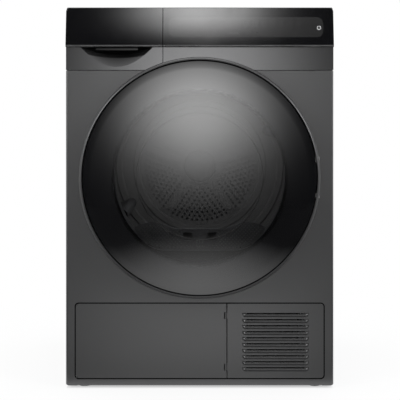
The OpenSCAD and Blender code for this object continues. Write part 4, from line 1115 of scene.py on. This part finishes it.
    def power_mark(self) -> None:
        """Makes the white power mark, an open ring with a stem."""
        mesh = bmesh.new()
        stem = self.power_stem
        self.ring(mesh, self.power_x, self.power_z, self.power_arc, self.power_line, self.mark_proud)
        self.plate(mesh, self.power_x, self.power_z + stem.above, stem.wide, stem.tall, self.mark_proud)
        self.finish(mesh, "power_mark", "white_print")

    def build(self) -> None:
        """Makes everything that shows on the control glass."""
        self.dark_window()
        self.unlit_print()
        self.divider_lines()
        self.power_mark()

    def finish(self, mesh: bmesh.types.BMesh, name: str, look: str) -> None:
        """Lays a flat shape on the glass and gives it its look.

        Args:
            mesh: The shape, drawn upright.
            name: Name of the piece.
            look: Name of its finish.
        """
        bmesh.ops.transform(mesh, matrix=self.place(), verts=mesh.verts)
        Maker.piece(mesh, name, self.finishes[look], "root", smooth=False)


@dataclass
class PlinthGapShade:
    """Thin dark lip of painted shade, laid in the gap round the opening that holds the service flap and the
    vent grille.
    """

    finishes: dict[str, bpy.types.Material]
    width: float = 2.6 * MM
    proud: float = 0.12 * MM
    sunk: float = 0.5 * MM
    corner_r: float = 9 * MM
    corner_steps: int = 8

    def build(self) -> None:
        """Makes the lip from a rounded sheet, inset and thickened."""
        low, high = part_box("service_flap")
        half_x = -low.x + self.width
        half_z = (high.z - low.z) / 2.0 + self.width
        face_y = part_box("front_panel")[0].y
        middle = Matrix.Translation((0.0, face_y - self.proud, (low.z + high.z) / 2.0))
        size = Matrix.Rotation(math.pi / 2.0, 4, "X") @ Matrix.Diagonal((half_x, half_z, 1.0, 1.0))
        mesh = bmesh.new()
        bmesh.ops.create_grid(mesh, x_segments=1, y_segments=1, size=1.0, matrix=middle @ size)
        bmesh.ops.bevel(mesh, geom=list(mesh.verts), offset=self.corner_r, offset_type="OFFSET",
                        affect="VERTICES", segments=self.corner_steps, profile=0.5, material=-1)
        rim = bmesh.ops.inset_region(mesh, faces=list(mesh.faces), thickness=self.width,
                                     use_even_offset=True, use_boundary=True)["faces"]
        bmesh.ops.delete(mesh, geom=[face for face in mesh.faces if face not in rim], context="FACES")
        grown = bmesh.ops.extrude_face_region(mesh, geom=list(mesh.faces), use_keep_orig=True)
        moved = [item for item in grown["geom"] if isinstance(item, bmesh.types.BMVert)]
        bmesh.ops.translate(mesh, vec=(0.0, self.sunk + self.proud, 0.0), verts=moved)
        # Painted shade: the lip's near-black finish stands in for the shadow in the gap.
        Maker.piece(mesh, "plinth_seal", self.finishes["gap_black"], "root")


@dataclass(frozen=True)
class Sheet:
    """Flat staged sheet of the studio."""

    name: str
    material: bpy.types.Material
    seen: SeenBy

    def stage(self, corners: list[Point]) -> None:
        """Makes the sheet.

        Args:
            corners: Its four corners in order.
        """
        mesh = bmesh.new()
        mesh.faces.new([mesh.verts.new(corner) for corner in corners])
        sheet = Maker.meshed(mesh, self.name, self.material)
        for setting in SeenBy.ALL.value:
            setattr(sheet, setting, setting in self.seen.value)

    def upright(self, sides: Pair, y: float, heights: Pair) -> None:
        """Stands the sheet up, facing the dryer.

        Args:
            sides: Its left and its right edge.
            y: Its depth.
            heights: Its lower and its upper edge.
        """
        (left, right), (low, top) = sides, heights
        self.stage([(left, y, low), (right, y, low), (right, y, top), (left, y, top)])

    def level(self, sides: Pair, depths: Pair, z: float) -> None:
        """Lays the sheet down.

        Args:
            sides: Its left and its right edge.
            depths: Depths of its first and its last edge.
            z: Its height.
        """
        (left, right), (first, last) = sides, depths
        self.stage([(left, first, z), (right, first, z), (right, last, z), (left, last, z)])


class DullShade(Shade):
    """Dull grey surface of the studio's floor and cloths."""

    def __init__(self, name: str, scale: float, greys: Pair) -> None:
        """Starts the surface.

        Args:
            name: Name of the material.
            scale: Patches per metre.
            greys: Its darkest and its lightest grey.
        """
        super().__init__(name)
        self.base(self.mottled(self.noise(scale), grey(1.0), greys))
        self.constants(Roughness=1.0, Specular_IOR_Level=0.0)

    def soften(self, away: Socket, start: float, hole: bool = False) -> None:
        """Lets a cloth fade out with the distance from its middle, or fade in from there.

        Args:
            away: The distance, which is 1 where the fade ends.
            start: Distance at which the fade starts.
            hole: Whether the cloth is clear in the middle instead of at the edge.
        """
        fade = self.node("ShaderNodeMapRange", interpolation_type="SMOOTHSTEP")
        fade.inputs["From Min"].default_value = start
        self.link(away, fade.inputs["Value"])
        first, second = self.bsdf.outputs[0], self.node("ShaderNodeBsdfTransparent").outputs[0]
        if hole:
            first, second = second, first
        self.surface(self.mixed(fade.outputs["Result"], first, second))


@dataclass(frozen=True)
class Viewer:
    """Level camera before the dryer, aimed by shifting its picture."""

    front: float
    distance: float = 2.5
    height: float = 0.61
    aim_height: float = 0.42
    view_width: float = 0.8902
    sensor: float = 36.0
    shift_x: float = 0.0008
    clip_end: float = 100.0

    def build(self) -> None:
        """Creates the camera and sets it as the scene's own."""
        data = bpy.data.cameras.new("camera")
        data.sensor_width = self.sensor
        data.lens = self.sensor * self.distance / self.view_width
        data.shift_y = (self.aim_height - self.height) / self.view_width
        data.shift_x = self.shift_x
        data.clip_end = self.clip_end
        camera = Maker.add("camera", data)
        camera.location = (0.0, self.front - self.distance, self.height)
        camera.rotation_euler = (math.radians(90.0), 0.0, 0.0)
        bpy.context.scene.camera = camera


@dataclass(frozen=True)
class Backdrop:
    """White background and floor, an even light of plain strength, and the dryer's shadow."""

    light: float = 0.75
    light_tint: Colour = (0.97, 0.98, 1.0)
    floor_half: float = 12.0
    floor_scale: float = 3.0
    floor_greys: Pair = (0.93, 0.95)
    floor_white: float = 0.88
    floor_fade: Pair = (0.1, 1.0)
    side_in: float = 4 * MM
    shadow_in: float = 60 * MM

    def world(self) -> None:
        """Makes the background white to the camera, in metal and through glass, and lights the rest."""
        world = bpy.data.worlds.new("studio")
        world.use_nodes = True
        tree = Tree(world.node_tree)
        shown = world.node_tree.nodes["Background"]
        lit = tree.node("ShaderNodeBackground")
        for light, colour, strength in ((shown, grey(1.0), 1.0), (lit, self.light_tint, self.light)):
            light.inputs["Color"].default_value = (*colour, 1.0)
            light.inputs["Strength"].default_value = strength
        mix = tree.mixed(tree.background_rays(), lit.outputs[0], shown.outputs[0])
        tree.link(mix, world.node_tree.nodes["World Output"].inputs["Surface"])
        bpy.context.scene.world = world

    def outside(self, shade: Shade, axes: bpy.types.NodeOutputs) -> Socket:
        """Measures the share of white that the floor shows: none under the dryer, whole beside it.

        Args:
            shade: The floor's node tree.
            axes: The floor's coordinates.

        Returns:
            The share.
        """
        low, high = cad_box
        front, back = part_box("front_panel")[0].y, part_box("rear_panel")[1].y
        shares = []
        across, along = (low.x, high.x, self.side_in), (front, back, self.shadow_in)
        for axis, (near, far, edge) in (("X", across), ("Y", along)):
            centred = shade.math("SUBTRACT", axes[axis], (near + far) / 2.0)
            half = (far - near) / 2.0
            shares.append(shade.span(shade.math("ABSOLUTE", centred), WHOLE, (half - edge, half)))
        return shade.math("MAXIMUM", *shares)

    def floor(self) -> None:
        """Lays the floor, which shows white to the camera, in metal and through glass."""
        shade = DullShade("studio_floor", self.floor_scale, self.floor_greys)
        axes = shade.axes()
        fade = shade.span(shade.squares(axes["X"], axes["Y"]), (self.floor_white, 1.0), self.floor_fade)
        fade = shade.math("MULTIPLY", fade, self.outside(shade, axes))
        share = shade.math("MULTIPLY", shade.background_rays(), fade)
        white = shade.node("ShaderNodeEmission")
        shade.surface(shade.mixed(share, shade.bsdf.outputs[0], white.outputs[0]))
        edges = (-self.floor_half, self.floor_half)
        Sheet("floor", shade.material, SeenBy.ALL).level(edges, edges, 0.0)

    def build(self) -> None:
        """Makes the world and the floor."""
        self.world()
        self.floor()


@dataclass(frozen=True)
class Cloths:
    """Dark cloths before the dryer that keep black glass black. The camera doesn't see them."""

    front: float
    scale: float = 2.0
    wall_away: float = 4.4
    wall_half: float = 4.4
    wall_heights: Pair = (2 * MM, 4.4)
    wall_greys: Pair = (0.012, 0.02)
    wall_centre: float = 1.2
    wall_reach: Pair = (4.4, 3.2)
    wall_fade: float = 0.6
    floor_away: float = 0.05
    floor_half: float = 3.2
    floor_lift: float = 4 * MM
    floor_greys: Pair = (0.01, 0.014)
    pool_away: float = 0.95
    pool_reach: Pair = (0.62, 1.5)
    inner_away: float = 0.7
    inner_half: float = 2.0
    inner_heights: Pair = (6 * MM, 2.2)
    inner_greys: Pair = (0.001, 0.002)

    def wall(self) -> None:
        """Hangs a large cloth behind the camera, with a soft edge."""
        shade = DullShade("studio_flag", self.scale, self.wall_greys)
        y = self.front - self.wall_away
        wide, tall = self.wall_reach
        shade.soften(shade.away_from((0.0, y, self.wall_centre), (wide, 1.0, tall)), self.wall_fade)
        sheet = Sheet("flag_front", shade.material, SeenBy.MIRRORS)
        sheet.upright((-self.wall_half, self.wall_half), y, self.wall_heights)

    def floor(self) -> None:
        """Lays a cloth with a soft bright pool on the floor."""
        shade = DullShade("studio_floor_flag", self.scale, self.floor_greys)
        wide, deep = self.pool_reach
        pool = shade.away_from((0.0, self.front - self.pool_away, 0.0), (wide, deep, deep))
        shade.soften(pool, 0.0, hole=True)
        depths = (self.front - self.floor_away, self.front - self.wall_away)
        sheet = Sheet("flag_floor", shade.material, SeenBy.MIRRORS)
        sheet.level((-self.floor_half, self.floor_half), depths, self.floor_lift)

    def inner(self) -> None:
        """Hangs a cloth that is met only by what leaves through glass, so that the drum stays dim."""
        shade = DullShade("studio_inside", self.scale, self.inner_greys)
        sheet = Sheet("flag_inside", shade.material, SeenBy.GLASS)
        sheet.upright((-self.inner_half, self.inner_half), self.front - self.inner_away, self.inner_heights)

    def build(self) -> None:
        """Puts up all cloths."""
        self.wall()
        self.floor()
        self.inner()


@dataclass(frozen=True)
class GlowCard:
    """Card that mirrors alone show, glowing in its middle and fading smoothly towards its edges.

    Its glow falls to 1 / e at the distances wide and tall, and the power says how square the fall is.
    """

    name: str
    place: Point
    wide: float
    tall: float
    strength: float
    power: float
    reach: float = 2.4
    lowest: float = 10 * MM

    def build(self) -> None:
        """Makes the card."""
        shade = Shade(self.name)
        away = shade.away_from(self.place, (self.wide, 1.0, self.tall))
        fall = shade.math("MULTIPLY", shade.math("POWER", away, self.power), -1.0)
        glow = shade.node("ShaderNodeEmission")
        bell = shade.math("MULTIPLY", shade.math("EXPONENT", fall), self.strength)
        shade.link(bell, glow.inputs["Strength"])
        shade.surface(glow.outputs[0])
        x, y, z = self.place
        half, up = self.reach * self.wide, self.reach * self.tall
        sheet = Sheet(self.name, shade.material, SeenBy.MIRRORS)
        sheet.upright((x - half, x + half), y, (max(z - up, self.lowest), z + up))


def area_lamp(name: str, shape: LampShape, size: float, power: float) -> bpy.types.Object:
    """Makes an area light that the camera doesn't see.

    Args:
        name: Name of the lamp.
        shape: Its outline.
        size: Length of its side, or its diameter.
        power: Its power in watts.

    Returns:
        The lamp.
    """
    data = bpy.data.lights.new(name, "AREA")
    data.shape = shape.value
    data.size = size
    data.energy = power
    lamp = Maker.add(name, data)
    lamp.visible_camera = False
    return lamp


@dataclass(frozen=True)
class SoftLamp:
    """Soft square lamp that points at the dryer's middle."""

    name: str
    place: Point
    size: float
    power: float
    aim: Point = (0.0, 0.0, 0.45)

    def build(self) -> None:
        """Hangs the lamp."""
        lamp = area_lamp(self.name, LampShape.SQUARE, self.size, self.power)
        lamp.location = self.place
        lamp.rotation_euler = (Vector(self.aim) - Vector(self.place)).to_track_quat("-Z", "Y").to_euler()


@dataclass(frozen=True)
class DrumLamp:
    """Small round light behind the top of the loading port.

    It hangs a drop below the top of the drum, tilted in degrees from straight down towards the rear wall.
    """

    name: str
    drop: float
    tilt: float
    power: float
    size: float = 0.12
    behind: float = 0.05

    def build(self) -> None:
        """Hangs the lamp, whose disc shows neither in metal nor through glass."""
        low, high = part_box("drum_barrel")
        lamp = area_lamp(self.name, LampShape.ROUND, self.size, self.power)
        lamp.location = ((low.x + high.x) / 2.0, low.y + self.behind, high.z - self.drop)
        lamp.rotation_euler = (math.radians(self.tilt), 0.0, 0.0)
        lamp.visible_glossy = False
        lamp.visible_transmission = False


@dataclass
class Studio:
    """White studio: camera, background, dark cloths, glowing cards and lamps."""

    front: float = field(default_factory=lambda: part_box("front_panel")[0].y)
    card_away: float = 3.7
    lamp_away: float = 2.2
    lamp_x: float = 2.6
    lamp_z: float = 1.9

    def lights(self) -> list[GlowCard | SoftLamp | DrumLamp]:
        """Lists the cards that black glass mirrors, the lamps round the dryer and those in its drum.

        Returns:
            The cards and lamps.
        """
        card_y, lamp_y = self.front - self.card_away, self.front - self.lamp_away
        return [
            GlowCard("card_door", (-0.02, card_y, 0.84), wide=0.52, tall=0.47, strength=3.9, power=2.2),
            GlowCard("card_panel", (0.0, card_y, 2.62), wide=0.34, tall=0.14, strength=4.35, power=2.4),
            SoftLamp("lamp_left", (-self.lamp_x, lamp_y, self.lamp_z), size=1.4, power=42.0),
            SoftLamp("lamp_right", (self.lamp_x, lamp_y, self.lamp_z), size=1.4, power=42.0),
            SoftLamp("lamp_top", (0.0, 0.4, 3.2), size=2.0, power=30.0),
            DrumLamp("lamp_drum", drop=0.15, tilt=60.0, power=0.32),
            DrumLamp("lamp_port", drop=0.22, tilt=-12.0, power=0.15),
        ]

    def build(self) -> None:
        """Sets up camera, background, cloths and lights."""
        bpy.context.scene.view_settings.view_transform = "Standard"
        Viewer(self.front).build()
        Backdrop().build()
        Cloths(self.front).build()
        for light in self.lights():
            light.build()


@dataclass
class Wardrobe:
    """All finishes, and which CAD node wears which."""

    special: dict[str, str] = field(default_factory=lambda: {
        # The front and grille paints carry painted shade in their gaps and slots.
        "vent_grille": "grille_paint",
        "service_flap": "front_paint",
        "front_panel": "front_paint",
        "drum_shaft": "steel",
        "lint_filter_cover": "cover_plastic",
    })
    metals: tuple[Metal, ...] = (
        Metal("trim", (0.2, 0.2, 0.202), 0.25, Axis.X),
        Metal("galvanised", (0.45, 0.46, 0.47), 0.42, Axis.Z, spangle=0.1),
        Metal("steel", (0.4, 0.4, 0.402), 0.5, Axis.Y, metallic=0.6),
        Metal("zinc", (0.5, 0.5, 0.49), 0.4, Axis.X),
        Metal("fins", (0.6, 0.61, 0.62), 0.35, Axis.Z),
        Metal("copper", (0.6, 0.27, 0.14), 0.3, Axis.Y),
    )
    mouldings: tuple[Plastic | Rubber | Felt, ...] = (
        # Near-black, unshiny finish of the painted gap shade round the plinth opening.
        Plastic("gap_black", grey(0.003), 0.8, shine=0.0),
        Plastic("dark_plastic", (0.022, 0.0225, 0.024)),
        Plastic("grey_plastic", (0.075, 0.0765, 0.08), 0.46),
        Plastic("cover_plastic", (0.25, 0.254, 0.262)),
        Plastic("white_plastic", (0.72, 0.73, 0.73), 0.42),
        Plastic("tank_plastic", (0.56, 0.59, 0.61), 0.35, see_through=0.08),
        Plastic("foot_plastic", (0.56, 0.57, 0.58), 0.4, see_through=0.15),
        Rubber("rubber"),
        Felt("felt"),
    )
    plinth_half: float = 0.27
    clear_r: float = 0.196

    def paints(self) -> list[MetallicPaint]:
        """Lists the paints.

        Returns:
            The paints.
        """
        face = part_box("front_panel")[0].y
        body = MetallicPaint("body_paint", (0.112, 0.112, 0.113), roughness=0.3, metallic=0.8, flake=0.07,
                             peel=0.01)
        # Painted shade: the front paint turns black in the gaps round the service flap and the grille, the
        # grille paint in its slots, and the strip in its finger grip.
        gap = PaintedRecessShade(start=face + 1.5 * MM, fade=3 * MM, half=self.plinth_half)
        slots = PaintedRecessShade(start=face + 3 * MM, fade=7 * MM, half=self.plinth_half)
        grip = PaintedRecessShade(start=face + 4 * MM, fade=10 * MM, tone=0.014)
        return [
            body,
            replace(body, name="front_paint", recess_shade=gap),
            replace(body, name="grille_paint", recess_shade=slots),
            MetallicPaint("worktop", (0.055, 0.055, 0.056), roughness=0.55, metallic=0.3, peel=0.2),
            MetallicPaint("strip", (0.078, 0.078, 0.079), roughness=0.12, metallic=0.9, flake=0.05,
                          peel=0.004, recess_shade=grip),
            MetallicPaint("ring_metal", (0.07, 0.07, 0.071), roughness=0.4, metallic=0.8),
            MetallicPaint("motor_paint", (0.2, 0.21, 0.22)),
            MetallicPaint("compressor_paint", (0.012, 0.012, 0.013), roughness=0.2, metallic=0.0),
        ]

    def glasses(self) -> list[BlackGlass | SmokedGlass | ClearGlass | Print]:
        """Lists the glasses and the prints on them.

        Returns:
            The glasses and prints.
        """
        low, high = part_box("door_ring")
        return [
            BlackGlass("black_glass"),
            SmokedGlass("door_glass", (low.z + high.z) / 2.0, self.clear_r),
            ClearGlass("clear_glass"),
            BlackGlass("display_window", grey(0.018)),
            BlackGlass("dim_print", grey(0.028)),
            BlackGlass("dark_print", grey(0.008)),
            # The white power mark carries a faint painted glow.
            Print("white_print", grey(0.8), glow=0.25),
        ]

    def dress(self) -> dict[str, bpy.types.Material]:
        """Gives every CAD node the finish that its slot names, or its special one.

        Returns:
            Each finish's material by its short name.
        """
        slots = {material["slot"] for material in frame["record"]["materials"]}
        for plain in list(bpy.data.materials):
            if plain.name.split(".")[0] in slots:
                bpy.data.materials.remove(plain)
        wanted = (*self.paints(), *self.glasses(), *self.metals, *self.mouldings)
        finishes = {finish.name: finish.make() for finish in wanted}
        for part in frame["record"]["subparts"]:
            node = frame["nodes"][part["node"]]
            look = self.special.get(part["node"], part["material_slot"])
            for index in range(len(node.data.materials)):
                node.data.materials[index] = finishes[look]
            log.info("dressed %s in %s", part["node"], look)
        return finishes


def main() -> None:
    """Builds the dryer's looks in order and reports each piece."""
    logging.basicConfig(level=logging.INFO, format="%(message)s")
    Studio().build()
    finishes = Wardrobe().dress()
    DoorGlass(finishes).build()
    ControlDisplay(finishes).build()
    PlinthGapShade(finishes).build()


if __name__ == "__main__":
    main()
